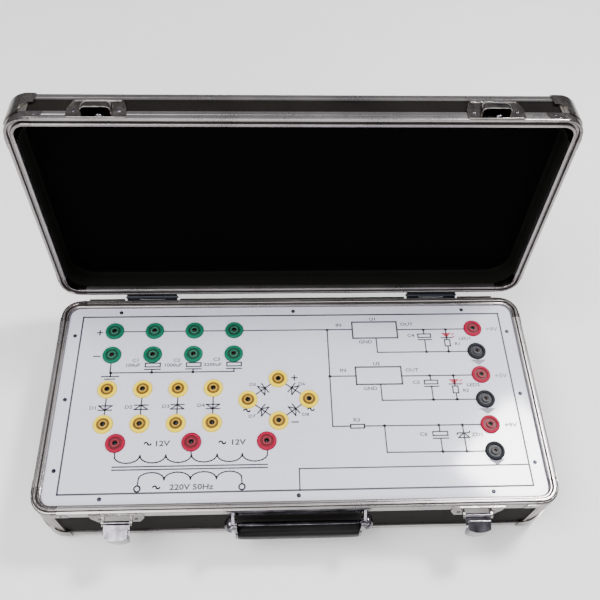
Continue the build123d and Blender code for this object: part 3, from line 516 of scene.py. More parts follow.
def lathe(name, profile, segments, finish, closed=True):
    # Drawn out along (radius, height): back to its start as a ring, or up to a flat top as a dome
    piece = beginPiece(name)
    radius, height = profile[0]
    fill = "NOTHING" if closed else "NGON"
    bpy.ops.mesh.primitive_circle_add(
        vertices=segments, radius=radius * mm, fill_type=fill, location=(0, 0, height * mm))
    for nextRadius, nextHeight in profile[1:] + ([profile[0]] if closed else []):
        pull(0, 0, nextHeight - height)
        scaled(nextRadius / radius, nextRadius / radius, 1, (0, 0, nextHeight))
        radius, height = nextRadius, nextHeight
    return endPiece(piece, finish)


def copiesOf(master, name, places):
    # A copy of the master with its own mesh at each place, joined into one piece
    copies = []
    for place in places:
        copy = master.copy()
        copy.data = master.data.copy()
        bpy.context.scene.collection.objects.link(copy)
        copy.data.transform(place)
        if place.determinant() < 0:
            copy.data.flip_normals()
        copies.append(copy)
    bpy.data.objects.remove(master)
    return joined(name, copies)


def joined(name, pieces):
    bpy.ops.object.select_all(action="DESELECT")
    for piece in pieces:
        piece.select_set(True)
    bpy.context.view_layer.objects.active = pieces[0]
    if len(pieces) > 1:
        bpy.ops.object.join()
    pieces[0].name = name
    return pieces[0]


def fitted(piece, body, *nodes):
    # Rides on its body and stands for the solids named
    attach(piece, body)
    if nodes:
        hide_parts(*nodes)


def mirrored(points):
    # A row of (across, value) up to the middle and on over its mirror image
    return points + [(-x, value) for x, value in reversed(points) if x]


# Extruded edges of base and lid, as (inward, up) from the outer edge of the rim, and their cast corners
baseInside = [
    (7.8, -0.2), (8, -0.7), (8, -5), (5.4, -5), (5.4, -3.6), (6.6, -3.6), (6.6, -1.4), (1.4, -1.4),
    (1.4, -9)]
lidInside = [
    (2.6, 0.3), (2.6, 2), (5.4, 2), (5.4, 0.3), (5.7, 0), (7.3, 0), (7.8, 0.2), (8, 0.7), (8, 5), (5.4, 5),
    (5.4, 3.4), (1.4, 3.4), (1.4, 9)]
baseRim = {
    "profile": [
        (0, -9), (0, -5.3), (0.3, -5), (0.3, -4.5), (0, -4.2), (0, -0.9), (0.25, -0.25), (0.9, 0),
        (2.1, 0.05), (2.3, -0.6), (3, -0.6), (3, 1.3), (3.3, 1.6), (4.7, 1.6), (5, 1.3), (5, -0.6),
        (5.7, -0.6), (5.9, 0), (7.3, 0), *baseInside],
    "cornerProfile": [
        (0, -9), (0, -1.2), (0.35, -0.35), (1.1, 0.12), (1.7, 0.12), (2, -0.8), (3, -0.8), (3, 1.2),
        (3.4, 1.6), (4.6, 1.6), (5, 1.2), (5, -0.8), (6.1, -0.8), (6.3, 0.05), (7.3, 0.05), *baseInside],
    # Strips in the groove bottoms as inner, outer, low and high edges, in a dark finish as painted shade
    "paintedGrooveShade": [(2.35, 3, -0.55, -0.35), (5, 5.65, -0.55, -0.35)],
    "cornerGrime": [(2.05, 3, -0.75, -0.3), (5, 6.05, -0.75, -0.3)],
}
lidRim = {
    "profile": [
        (0, 9), (0, 5.3), (0.3, 5), (0.3, 4.5), (0, 4.2), (0, 0.9), (0.25, 0.25), (0.9, 0), (2.3, 0),
        *lidInside],
    "cornerProfile": [(0, 9), (0, 1.2), (0.35, 0.35), (1.1, 0), (2.3, 0), *lidInside],
    "paintedGrooveShade": [(2.6, 2.95, 0.35, 1.95), (5.05, 5.4, 0.35, 1.95)],
    "cornerGrime": [(2.6, 2.9, 0.35, 1.95), (5.1, 5.4, 0.35, 1.95)],
}
rimLayout = {"leg": 24, "radius": 18, "steps": 12, "joint": 0.25}

# A leg of an angle profile that wraps the outer edge of the floor or the roof
wrapRail = {
    "profile": [
        (0, 8.5), (0, 6.6), (0.25, 6.4), (0.25, 6), (0, 5.8), (0, 2.5), (0.19, 1.54), (0.73, 0.73),
        (1.54, 0.19), (2.5, 0), (5.8, 0), (6, 0.25), (6.4, 0.25), (6.6, 0), (8.5, 0), (8.5, 1.4),
        (1.4, 1.4), (1.4, 8.5)],
    "leg": 20,
}


def stripProfile(inner, outer, low, high):
    return [(inner, low), (outer, low), (outer, high), (inner, high)]


def railPiece(profile, length, finish):
    # Along x, with its outer face on y = 0
    piece = beginPiece("rail")
    drawFace([(-length / 2, inward, up) for inward, up in profile])
    pull(length, 0, 0)
    return endPiece(piece, finish)


def cornerPiece(profile, finish):
    # Round the front left corner, with its outer faces on x = 0 and y = 0
    leg, radius = rimLayout["leg"], rimLayout["radius"]
    piece = beginPiece("corner")
    drawFace([(leg, inward, up) for inward, up in profile])
    bpy.ops.mesh.delete(type="ONLY_FACE")
    bpy.ops.mesh.select_all(action="SELECT")
    pull(radius - leg, 0, 0)
    bpy.ops.mesh.spin(
        steps=rimLayout["steps"], angle=math.pi / 2, center=(radius * mm, radius * mm, 0), axis=(0, 0, 1))
    pull(0, leg - radius, 0)
    bpy.ops.mesh.select_all(action="SELECT")
    bpy.ops.mesh.remove_doubles(threshold=doublesApart)
    bpy.ops.mesh.fill_holes(sides=0)
    return endPiece(piece, finish)


def edgeSides(level):
    # Where the front, right, back and left edges of a level start, each turned to face inwards
    sides = [(0, -halfDepth, 0), (halfWidth, 0, 90), (0, halfDepth, 180), (-halfWidth, 0, -90)]
    return [level @ moved(x, y) @ turned(turn, "Z") for x, y, turn in sides]


def cornerPlaces(level):
    spots = [(-1, -1, 0), (1, -1, 90), (1, 1, 180), (-1, 1, -90)]
    return [level @ moved(x * halfWidth, y * halfDepth) @ turned(turn, "Z") for x, y, turn in spots]


def edgeRing(name, profile, leg, level, finish):
    sides = edgeSides(level)
    longRail = railPiece(profile, 2 * (halfWidth - leg), finish)
    shortRail = railPiece(profile, 2 * (halfDepth - leg), finish)
    return joined(name, [copiesOf(longRail, name, sides[0::2]), copiesOf(shortRail, name, sides[1::2])])


def rimSet(name, rim, level, body):
    gap = rimLayout["leg"] + rimLayout["joint"]
    rails = edgeRing(name + "Rails", rim["profile"], gap, level, "edges")
    fitted(rails, body, body + "_rim_rails")
    casting = cornerPiece(rim["cornerProfile"], "corners")
    corners = copiesOf(casting, name + "Corners", cornerPlaces(level))
    fitted(corners, body, body + "_rim_corners")
    # Dark strips in the grooves, painted shade along them
    paintedGrooveShades = [edgeRing("paintedGrooveShade", stripProfile(*strip), gap, level, "paintedGrooveShade") for strip in rim["paintedGrooveShade"]]
    for strip in rim["cornerGrime"]:
        paintedGrooveShades.append(copiesOf(cornerPiece(stripProfile(*strip), "paintedGrooveShade"), "paintedGrooveShade", cornerPlaces(level)))
    fitted(joined(name + "Grime", paintedGrooveShades), body)


rimSet("baseRim", baseRim, baseFrame, "base")
rimSet("lidRim", lidRim, lidFrame, "lid")
bottomRails = edgeRing("bottomRails", wrapRail["profile"], wrapRail["leg"], bottomFrame, "edges")
fitted(bottomRails, "base", "base_bottom_rails")
roofRails = edgeRing("roofRails", wrapRail["profile"], wrapRail["leg"], roofFrame, "edges")
fitted(roofRails, "lid", "lid_roof_rails")
print("edges and corners made")


# Rivets and the tabs that run from the corner castings along the rims' skirts
rivetShape = {
    "profile": [(1.9, 0), (1.85, 0.25), (1.6, 0.55), (1.15, 0.78), (0.6, 0.9), (0.2, 0.92)],
    "segments": 16,
}
cornerTab = {
    "outline": [(19, -8.4), (33, -8.4), (31, -0.9), (19, -0.9)],
    "thickness": 0.55, "soft": 0.2, "rivetAt": (27, -4.7), "rivetScale": 0.62,
}
# The other arm of a corner, where x and y change places
otherArm = Matrix(((0, 1, 0, 0), (1, 0, 0, 0), (0, 0, 1, 0), (0, 0, 0, 1)))


def rivets(name, places, finish="bright", size=1):
    profile = [(r * size, h * size) for r, h in rivetShape["profile"]]
    rivet = lathe("rivet", profile, rivetShape["segments"], finish, closed=False)
    return copiesOf(rivet, name, places)


def tabSet(name, level, upward, body):
    thickness = cornerTab["thickness"]
    outline = [(x, 0, up * -upward) for x, up in cornerTab["outline"]]
    tab = softEdges(prism(name, outline, (0, -thickness, 0), "corners"), cornerTab["soft"])
    arms = [place @ arm for place in cornerPlaces(level) for arm in (Matrix.Identity(4), otherArm)]
    tabs = copiesOf(tab, name, arms)
    across, up = cornerTab["rivetAt"]
    onTab = moved(across, -thickness, up * -upward) @ turned(90, "X")
    heads = rivets(name + "Rivets", [arm @ onTab for arm in arms], size=cornerTab["rivetScale"])
    fitted(joined(name, [tabs, heads]), body)


tabSet("baseCornerTabs", baseFrame, -1, "base")
tabSet("lidCornerTabs", lidFrame, 1, "lid")
print("corner tabs riveted")


# Banana sockets: a coloured head with a soft rim and a recess ring in darker colour as painted shade, a
# collar in its middle and a metal tube darkened as painted shade in the hole
socketShape = {
    "flange": [
        (9, 0), (9, 1.1), (8.75, 1.7), (8.3, 2.05), (7.7, 2.2), (6.6, 2.2), (6.2, 2.05), (5.9, 1.6),
        (5.8, 0)],
    "recess": [(5.85, 0), (5.85, 0.9), (3.85, 0.9), (3.85, 0)],
    "collar": [
        (2.5, -15), (3.7, -15), (3.9, -14.6), (3.9, 1.9), (3.65, 2.25), (3.2, 2.4), (2.8, 2.35), (2.5, 2)],
    "tube": [(1.6, -14), (2.48, -14), (2.48, 1.5), (1.6, 1.5)],
    "segments": 40, "tubeSegments": 24,
}
socketSpots = {
    "green": [(x, y) for x in (-176, -137, -98, -59) for y in (73.1, 46.5)],
    "yellow": [(x, y) for x in (-176.5, -143.5, -110.5, -77.5) for y in (9.8, -25.4)]
    + [(-44.9, -2.8), (12.3, -2.8), (-16.3, 18.7), (-16.3, -24.3)],
    "red": [(-163.5, -43.9), (-95.5, -43.9), (-27.5, -43.9), (179.7, 72.3), (179.7, 20.5), (179.7, -31.3)],
    "black": [(179.7, 46.3), (179.7, -5.5), (179.7, -57.3)],
}
sleeveParts = []
for colour, spots in socketSpots.items():
    places = placed(panelFrame, spots)
    flange = lathe("flange", socketShape["flange"], socketShape["segments"], colour)
    # The recess ring is coloured darker as painted shade in the recess
    recess = lathe("recess", socketShape["recess"], socketShape["segments"], colour + "RecessPaintedShade")
    heads = joined("head", [flange, recess])
    fitted(copiesOf(heads, colour + "SocketHeads", places), "base", colour + "_sockets")
    collar = lathe("collar", socketShape["collar"], socketShape["segments"], colour + "Ring")
    sleeveParts.append(copiesOf(collar, colour + "Collars", places))
    # The tube is darkened as painted shade in the hole
    tube = lathe("tube", socketShape["tube"], socketShape["tubeSegments"], "paintedHoleShade")
    sleeveParts.append(copiesOf(tube, colour + "Tubes", places))
fitted(joined("socketSleeves", sleeveParts), "base", "socket_sleeves")
print("sockets made")


# Cross-headed screws that hold the faceplate down
screwShape = {
    "head": [(1.9, 0), (1.88, 0.45), (1.6, 0.8), (1.1, 0.97), (0.5, 1)], "segments": 20,
    "slot": (2.3, 0.42, 0.9), "slotUp": 1.05, "slotTurns": (30, 120),
    "reachX": 171.8, "reachY": 94.7, "sideX": 214.2, "sideY": 68.6,
}


def crossScrew():
    head = lathe("screw", screwShape["head"], screwShape["segments"], "screws", closed=False)
    for turn in screwShape["slotTurns"]:
        addCube((0, 0, screwShape["slotUp"]), screwShape["slot"], math.radians(turn))
        cutter = bpy.context.object
        applied(head, "slot", "BOOLEAN", object=cutter, solver="EXACT")
        bpy.data.objects.remove(cutter)
    return head


screwSpots = [(x * screwShape["reachX"], y * screwShape["reachY"]) for x in (-1, 0, 1) for y in (-1, 1)]
screwSpots += [(x * screwShape["sideX"], y * screwShape["sideY"]) for x in (-1, 1) for y in (-1, 0, 1)]
fitted(copiesOf(crossScrew(), "plateScrews", placed(panelFrame, screwSpots)), "base", "faceplate_screws")
print("screws made")


# Catches on the lid: a riveted plate with a raised outline, and a domed hood that is open below
sheetAngle = 50  # degrees between smooth faces of bent sheet
catchShape = {
    "x": 156,
    "plate": mirrored([
        (21.6, 0.3), (22.6, 0.8), (23, 1.9), (23, 11), (19.6, 20.6), (18.8, 21.6), (17.4, 22)]),
    "thickness": 1.2, "bead": 1.2, "sunk": 0.6, "plateSoft": 0.3,
    "hood": [
        (0.6, 5), (7.3, 5), (7.5, 7), (7.3, 9.6), (6.6, 12.4), (5.2, 15.2), (3.4, 17.3), (1.6, 18.7),
        (0.6, 19)],
    "hoodSteps": mirrored([(-12, 0.5), (-11.5, 0.72), (-10.5, 0.87), (-9, 0.96), (-7, 1)]),
    "hoodFoot": (-0.6, 5), "hoodWall": 0.9, "hoodSoft": 0.2,
    "rivetX": 17.3, "rivetUp": 8.6, "studX": 2, "studUp": 4.6, "studScale": 1.5,
}


def stepped(outline, steps, about):
    # An outline in the plane of y and z, drawn along x and scaled about one point of it step by step
    x, size = steps[0]
    aboutY, aboutZ = about
    drawFace([(x, aboutY + (y - aboutY) * size, aboutZ + (z - aboutZ) * size) for y, z in outline])
    for nextX, nextSize in steps[1:]:
        pull(nextX - x, 0, 0)
        scaled(1, nextSize / size, nextSize / size, (nextX, aboutY, aboutZ))
        x, size = nextX, nextSize


def catchPiece():
    outline = [(x, 0, up) for x, up in catchShape["plate"]]
    plate = prism("plate", outline, (0, -catchShape["thickness"], 0), "catch")
    pick(plate, "FACE", lambda spot, facing: facing.y < -squarely)
    bpy.ops.mesh.inset(thickness=catchShape["bead"] * mm, depth=0)
    pull(0, catchShape["sunk"], 0)
    softEdges(plate, catchShape["plateSoft"])
    hood = beginPiece("hood")
    stepped([(-out, up) for out, up in catchShape["hood"]], catchShape["hoodSteps"], catchShape["hoodFoot"])
    endPiece(hood, "catch", sheetAngle)
    pick(hood, "FACE", lambda spot, facing: facing.z < -squarely or facing.y > squarely)
    bpy.ops.mesh.delete(type="FACE")
    thickened(hood, catchShape["hoodWall"], -1)
    softEdges(hood, catchShape["hoodSoft"])
    face = -catchShape["thickness"] + catchShape["sunk"]
    spots = [(side * catchShape["rivetX"], face, catchShape["rivetUp"]) for side in (-1, 1)]
    heads = rivets("catchRivets", placed(Matrix.Identity(4), spots, 90))
    studSpot = (catchShape["studX"], face, catchShape["studUp"])
    stud = rivets("catchStud", placed(Matrix.Identity(4), [studSpot], 90), size=catchShape["studScale"])
    return joined("catch", [plate, hood, heads, stud])


fronts = [(side * catchShape["x"], -halfDepth) for side in (-1, 1)]
fitted(copiesOf(catchPiece(), "lidCatches", placed(lidFrame, fronts)), "lid", "catch_plates")
print("catches made")


# Thumb levers: a drum-like sheet whose foot is drawn in to a rounded tip, with a lip along its top
leverShape = {
    "section": mirrored([
        (-10, -2), (-10, 0.2), (-9.7, 1), (-8.6, 1.75), (-7, 2.4), (-4.8, 3), (-2.4, 3.45), (0, 3.6)]),
    "out": 3.6, "top": 3.5, "topIn": 0.45, "reach": 5.8, "lip": 2.5, "wall": 0.9, "lean": 8, "soft": 0.25,
    # Level, width and depth of the section there, and how far it has moved out
    "levels": [
        (2, 1, 1, -0.25), (0.5, 1, 1, -0.1), (-5, 1, 1, 0), (-10, 1, 0.75, 0), (-13.5, 0.95, 0.55, 0),
        (-15.5, 0.84, 0.45, 0.05), (-16.5, 0.66, 0.38, 0.1), (-16.9, 0.48, 0.32, 0.15)],
}


def leverPiece():
    out, top = leverShape["out"], leverShape["top"]
    lever = beginPiece("lever")
    drawLine([(x, leverShape["topIn"] - depth, top) for x, depth in leverShape["section"]])
    before = (top, 1, 1, -leverShape["topIn"])
    for level in leverShape["levels"]:
        pull(0, before[3] - level[3], level[0] - before[0])
        scaled(level[1] / before[1], level[2] / before[2], 1, (0, -out - level[3], level[0]))
        before = level
    near = 0.01
    pick(lever, "EDGE", lambda one, two: min(one.z, two.z) > top - near)
    pull(0, 0, 0)
    scaled(1, 0, 1, (0, leverShape["reach"], top))
    pull(0, 0, leverShape["lip"])
    endPiece(lever, "bright", sheetAngle)
    thickened(lever, leverShape["wall"], -1)
    return softEdges(lever, leverShape["soft"])


for side in ("left", "right"):
    pivot = Matrix.Translation(Vector(joints[side + "_thumb_hinge"]["pos_m"]))
    lever = copiesOf(leverPiece(), side + "ThumbDrum", [pivot @ turned(leverShape["lean"], "X")])
    fitted(lever, side + "_thumb", side + "_thumb_lever")
print("levers made")


# Rivets of the latch plates and hinges, caps over the handle's pivots, and the inlet's screws
smallParts = {
    "latch": {"x": 156, "across": (-15.5, 15.5), "proud": 1.2, "up": -13.5, "scale": 0.95},
    "hinge": {"x": 142, "across": (-18, 0, 18), "y": 108.9, "up": 12},
    "cap": {
        "profile": [(6.8, 0), (6.9, 1), (6.6, 2.4), (5.8, 3.9), (4.4, 5.2), (2.6, 6), (0.8, 6.4)],
        "segments": 28, "x": 58, "y": -116, "up": -13},
    "inlet": {
        "profile": [(2.2, 0), (2.1, 0.5), (1.4, 1)], "segments": 20, "x": -150, "across": (-20, 20),
        "y": 108.6, "up": -38},
}


def pairOf(part, y, up):
    return [(side * part["x"] + across, y, up) for side in (-1, 1) for across in part["across"]]


latch, hinge, cap, inlet = (smallParts[name] for name in ("latch", "hinge", "cap", "inlet"))
latchSpots = pairOf(latch, -halfDepth - latch["proud"], latch["up"])
fitted(rivets("latchRivets", placed(baseFrame, latchSpots, 90), size=latch["scale"]), "base")
below, above = [pairOf(hinge, hinge["y"], side * hinge["up"]) for side in (-1, 1)]
fitted(rivets("hingeRivetsBelow", placed(baseFrame, below, -90), "dark"), "base")
fitted(rivets("hingeRivetsAbove", placed(lidFrame, above, -90), "dark"), "lid")
pivotCap = lathe("cap", cap["profile"], cap["segments"], "bright", closed=False)
capPlaces = []
for side in (-1, 1):
    capPlaces += placed(baseFrame, [(side * cap["x"], cap["y"], cap["up"])], side * 90, "Y")
fitted(copiesOf(pivotCap, "handlePivotCaps", capPlaces), "base")
inletScrew = lathe("screw", inlet["profile"], inlet["segments"], "screws", closed=False)
inletSpots = [(inlet["x"] + across, inlet["y"], inlet["up"]) for across in inlet["across"]]
fitted(copiesOf(inletScrew, "inletScrews", placed(baseFrame, inletSpots, -90)), "base")
print("rivets and caps made")


def arcPoints(x, y, radiusX, radiusY, start, sweep, steps):
    turns = [math.radians(start + sweep * i / steps) for i in range(steps + 1)]
    return [(x + radiusX * math.cos(t), y + radiusY * math.sin(t)) for t in turns]


# The grip, a rounded bar that narrows a little towards its ends, with a bright rail along its back
gripLow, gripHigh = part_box("handle_grip")
gripMiddle = (gripLow + gripHigh) / 2 / mm
gripShape = {
    "corners": [(1, 3, 0), (-1, 3, 90), (-1, -3, 180), (1, -3, 270)], "radius": 5.9, "cornerSteps": 5,
    "steps": mirrored([(-53.6, 0.9), (-52.6, 0.95), (-50, 0.97), (-40, 1)]),
    "railSize": (107, 2.4, 2.2), "railFromMiddle": (0, 2.6, 9.1), "railSoft": 0.3,
}
gripOutline = []
for y, z, start in gripShape["corners"]:
    radius = gripShape["radius"]
    gripOutline += arcPoints(
        gripMiddle.y + y, gripMiddle.z + z, radius, radius, start, 90, gripShape["cornerSteps"])
grip = beginPiece("roundedGrip")
stepped(gripOutline, gripShape["steps"], (gripMiddle.y, gripMiddle.z))
fitted(endPiece(grip, "grip"), "handle", "handle_grip")
rail = beginPiece("gripRail")
addCube(gripMiddle + Vector(gripShape["railFromMiddle"]), gripShape["railSize"])
fitted(softEdges(endPiece(rail, "bright"), gripShape["railSoft"]), "handle")
print("grip made")


# A dark strip in a rubber finish under the seam at the back, between and beside the hinges: painted shade
# put where the gap between lid and base falls dark
shadeStripShape = {
    "runs": [(-205, -169.5), (-114.5, 114.5), (169.5, 205)], "thickness": 2.6, "low": -7, "outerLow": -5.5,
    "high": -1.2, "soft": 0.5,
}
shadeStrips = []
shadeStripOuter = halfDepth + shadeStripShape["thickness"]
shadeStripSection = [
    (halfDepth, shadeStripShape["low"]), (shadeStripOuter, shadeStripShape["outerLow"]), (shadeStripOuter, shadeStripShape["high"]),
    (halfDepth, shadeStripShape["high"])]
for left, right in shadeStripShape["runs"]:
    shadeStrip = prism("shadeStrip", [(left, y, up) for y, up in shadeStripSection], (right - left, 0, 0), "rubber")
    shadeStrips.append(softEdges(shadeStrip, shadeStripShape["soft"]))
fitted(copiesOf(joined("shadeStrips", shadeStrips), "backShadeStrip", [baseFrame]), "base")


# Rubber feet with a screw up in each
footShape = {
    "ring": [(2.5, 0), (8.3, 0), (8.9, 0.5), (8.9, 1.2), (8.22, 7.4), (2.5, 7.4)], "segments": 32,
    "screw": [(2.45, 0), (2.3, 0.6), (1.5, 1)], "screwSegments": 20, "screwUp": 7, "x": 190, "y": 75,
}
ground = Matrix.Translation((0, caseMiddle, 0))
footSpots = [(x * footShape["x"], y * footShape["y"]) for x in (-1, 1) for y in (-1, 1)]
foot = lathe("foot", footShape["ring"], footShape["segments"], "rubber")
feet = copiesOf(foot, "feet", placed(ground, footSpots))
footScrew = lathe("screw", footShape["screw"], footShape["screwSegments"], "screws", closed=False)
screwLevel = ground @ moved(0, 0, footShape["screwUp"])
footScrews = copiesOf(footScrew, "footScrews", placed(screwLevel, footSpots, 180))
fitted(joined("screwedFeet", [feet, footScrews]), "base", "rubber_feet")


# The lid's lining: a shallow tray with round corners, whose walls take a lighter copy of its finish as
# painted light
trayShape = {
    "size": (444, 200, 19), "middle": 14.5, "open": 5, "roof": 24, "corner": 24, "cornerSteps": 10,
    "edge": 5, "edgeSteps": 4, "wall": 1.1, "near": 0.1, "flat": 0.7,
}
tray = beginPiece("tray")
addCube((0, 0, trayShape["middle"]), trayShape["size"])
pick(tray, "EDGE", lambda one, two: abs(one.z - two.z) > trayShape["open"])
bpy.ops.mesh.bevel(offset=trayShape["corner"] * mm, segments=trayShape["cornerSteps"], affect="EDGES")
pick(tray, "EDGE", lambda one, two: min(one.z, two.z) > trayShape["roof"] - trayShape["near"])
bpy.ops.mesh.bevel(offset=trayShape["edge"] * mm, segments=trayShape["edgeSteps"], affect="EDGES")
pick(tray, "FACE", lambda spot, facing: spot.z < trayShape["open"] + trayShape["near"])
bpy.ops.mesh.delete(type="FACE")
endPiece(tray, "litLiningWall")
tray.data.materials.append(finishes["lining"])
pick(tray, "FACE", lambda spot, facing: abs(facing.z) > trayShape["flat"])
tray.active_material_index = 1
bpy.ops.object.material_slot_assign()
thickened(tray, trayShape["wall"], 1)
fitted(copiesOf(tray, "liningTray", [lidFrame]), "lid", "lid_lining")
print("feet and lining made")


# The circuit printed on the faceplate, in mm from its middle
printing = {
    "line": 1.3, "frame": 1.6, "glint": 1.2, "height": 0.06, "overlap": 0.9, "dot": 1.5, "roundSteps": 16,
    "coilSteps": 10, "waveSteps": 5, "wide": 1.2, "bold": 0.028, "letterRise": 0.005, "letterDepth": 0.025,
    "letterLift": 0.03, "letterSteps": 2, "plateOver": 0.3,
}


def stroke(points, width=printing["line"]):
    for (x1, y1), (x2, y2) in zip(points, points[1:]):
        length = math.hypot(x2 - x1, y2 - y1) + width * printing["overlap"]
        middle = ((x1 + x2) / 2, (y1 + y2) / 2, printing["height"] / 2)
        addCube(middle, (length, width, printing["height"]), math.atan2(y2 - y1, x2 - x1))


def dots(spots):
    for x, y in spots:
        bpy.ops.mesh.primitive_cylinder_add(
            vertices=printing["roundSteps"], radius=printing["dot"] * mm, depth=printing["height"] * mm,
            location=Vector((x, y, printing["height"] / 2)) * mm)


def boxStroke(left, right, top, bottom, width=printing["line"]):
    stroke([(left, top), (right, top), (right, bottom), (left, bottom), (left, top)], width)


def rounds(x, y, radius):
    stroke(arcPoints(x, y, radius, radius, 0, 360, printing["roundSteps"]))


def filled(points):
    drawFace([(x, y, 0) for x, y in points])
    pull(0, 0, printing["height"])


def turnedPoints(points, x, y, degrees):
    cosine, sine = math.cos(math.radians(degrees)), math.sin(math.radians(degrees))
    return [(x + px * cosine - py * sine, y + px * sine + py * cosine) for px, py in points]


def diode(x, y, degrees, half=6.1, height=4.4):
    # Points up before it is turned
    outline = [(-half, -height / 2), (half, -height / 2), (0, height / 2), (-half, -height / 2)]
    stroke(turnedPoints(outline, x, y, degrees))
    stroke(turnedPoints([(-half, height / 2), (half, height / 2)], x, y, degrees))


def capacitor(x, left, right, top, bottom, plate, above, below):
    # A box over a plate that is a little wider, with the line from above and the one on to what is below
    boxStroke(left, right, top, bottom)
    stroke([(left - printing["plateOver"], plate), (right + printing["plateOver"], plate)])
    stroke([(x, above), (x, top)])
    stroke([(x, plate), (x, below)])


def coil(startX, endX, startY, cusps, cuspY, peakY):
    # A winding of half rounds between cusps, above or below them
    marks = [startX, *cusps, endX]
    sweep = -180 if peakY > cuspY else 180
    for left, right in zip(marks, marks[1:]):
        arc = arcPoints(
            (left + right) / 2, cuspY, (right - left) / 2, abs(peakY - cuspY), 180, sweep,
            printing["coilSteps"])
        if left == startX:
            arc[0] = (startX, startY)
        if right == endX:
            arc[-1] = (endX, startY)
        stroke(arc)


def printed(piece, name, finish):
    endPiece(piece, finish)
    fitted(copiesOf(piece, name, [panelFrame]), "base")


pictured = beginPiece("circuit")
boxStroke(-208.5, 208.5, 90, -90, printing["frame"])
# Reservoir row: the upper line, its capacitors and the ground below them
stroke([(-176, 72.8), (58.5, 72.8)])
stroke([(103.2, 72.1), (179.7, 72.1)])
stroke([(-176, 46.5), (-176, 27.4), (-58.3, 27.4)])
stroke([(-175.2, 27.4), (-175.2, 23.6)])
for left, right, y in ((-183.4, -167.4, 23.6), (-180, -171, 20.9), (-177.4, -173.5, 18.3)):
    stroke([(left, y), (right, y)])
dots([(-175.2, 27.4), (-136.6, 27.4), (-97.5, 27.4), (33.3, 72.5), (33.3, 20.8)])
for x, left, right in ((-136.6, -143.2, -129.1), (-97.5, -104.1, -90.2), (-58.5, -65.4, -51.5)):
    capacitor(x, left, right, 37.3, 33.4, 30.7, 46.5, 27.4)
# Four single diodes, the transformer and the bridge
for x, y, degrees in ((-176.4, -8.9, 180), (-143.5, -8.7, 0), (-110.2, -8.7, 0), (-77.3, -8.9, 180)):
    stroke([(x, 9.8), (x, -25.4)])
    diode(x, y, degrees)
stroke([(-163.5, -43.9), (-163.3, -51.5)])
stroke([(-95.5, -43.9), (-95.2, -55)])
stroke([(-27.5, -43.9), (-26.9, -51.5)])
coil(-163.2, -26.7, -51.5, (-140.4, -117.5, -94.8, -72, -49.5), -55.6, -62.7)
for y in (-66, -68.8):
    stroke([(-163.8, y), (-27.1, y)])
coil(-140.4, -49.4, -83, (-117.6, -94.7, -71.9), -78.3, -71.6)
for x, y in ((-140.4, -86.1), (-49.4, -85.9)):
    rounds(x, y, 2.6)
stroke([(-44.9, -2.8), (-16.3, 18.7), (12.3, -2.8), (-16.3, -24.3), (-44.9, -2.8)])
for x, y, degrees in ((-30.6, 8, -53), (-2, 8, 53), (-30.6, -13.5, 53), (-2, -13.5, -53)):
    diode(x, y, degrees, 5.6, 4.6)
# The two regulated outputs and the reference below them
stroke([(33.3, 72.5), (33.3, -30.8), (49.8, -30.8)])
stroke([(33.3, 20.8), (58.5, 20.8)])
stroke([(102.6, 20.2), (179.7, 20.2)])
boxStroke(58.5, 103.2, 81.3, 62.7, printing["frame"])
boxStroke(58.5, 102.6, 30.3, 11.7, printing["frame"])
stroke([(81.5, 62.7), (81.5, 46.4), (179.7, 46.3)])
stroke([(81.5, 11.7), (81.5, -5.2), (179.7, -5.5)])
capacitor(129.9, 123.6, 136.4, 66.7, 62.8, 60.2, 71.8, 46.3)
capacitor(130.1, 123.8, 136.6, 15.2, 11.3, 8.7, 20.2, -5.2)
capacitor(131.8, 125.1, 138.8, -37.5, -41.4, -44.1, -31.1, -56.8)
dots([
    (129.8, 71.6), (130, 46.3), (152.4, 71.8), (152.1, 46.4), (130, 20.2), (130.1, -5.3), (152.7, 20.1),
    (152.9, -5.2)])
for x, top, middle in ((152.2, 71.8, 56.4), (152.8, 20.1, 5.1)):
    stroke([(x, top), (x, middle + 3.6)])
    stroke([(x, middle - 3.6), (x, top - 25.4)])
    boxStroke(x - 2.6, x + 2.6, middle + 3.6, middle - 3.6)
    stroke([(x - 5.3, middle + 5.8), (x + 5.3, middle + 5.8)])
boxStroke(49.8, 62.5, -29.2, -32.8)
stroke([(62.5, -30.9), (179.7, -31.3)])
stroke([(81.2, -30.8), (81.2, -56.8), (179.7, -57.3)])
dots([(81.2, -30.9), (131.6, -31.1), (132, -57), (153.7, -31.3), (153.9, -57.1)])
stroke([(153.7, -31.3), (153.9, -57.1)])
stroke([(147.4, -40.6), (148.2, -39.2), (158.7, -39.2), (159.5, -37.8)])
stroke([(148.4, -43.8), (158.8, -43.8), (153.7, -39.2), (148.4, -43.8)])
# Signs beside the sockets
for x, y, half in ((-190.4, 72, 2.5), (-0.9, 19.8, 2.6)):
    stroke([(x - half, y), (x + half, y)])
    stroke([(x, y - half), (x, y + half)])
for x, y in ((-190.6, 45.6), (-1.3, -25.8)):
    stroke([(x - 2.9, y), (x + 2.9, y)])
wave = {"radius": 1.45, "rise": 1.2}
for x, y in ((-134.5, -44.7), (-67.6, -44.5), (-123.8, -85), (-45.7, -13.5), (13.8, -13.2)):
    points = []
    for side in (-1, 1):
        middle = x + side * wave["radius"]
        points += arcPoints(middle, y, wave["radius"], wave["rise"], 180, side * 180, printing["waveSteps"])
    stroke(points)
# The strip for a title, left bare
stroke([(1.2, -90), (1.2, -70.5), (208.5, -70.5)])
printed(pictured, "printedCircuit", "ink")

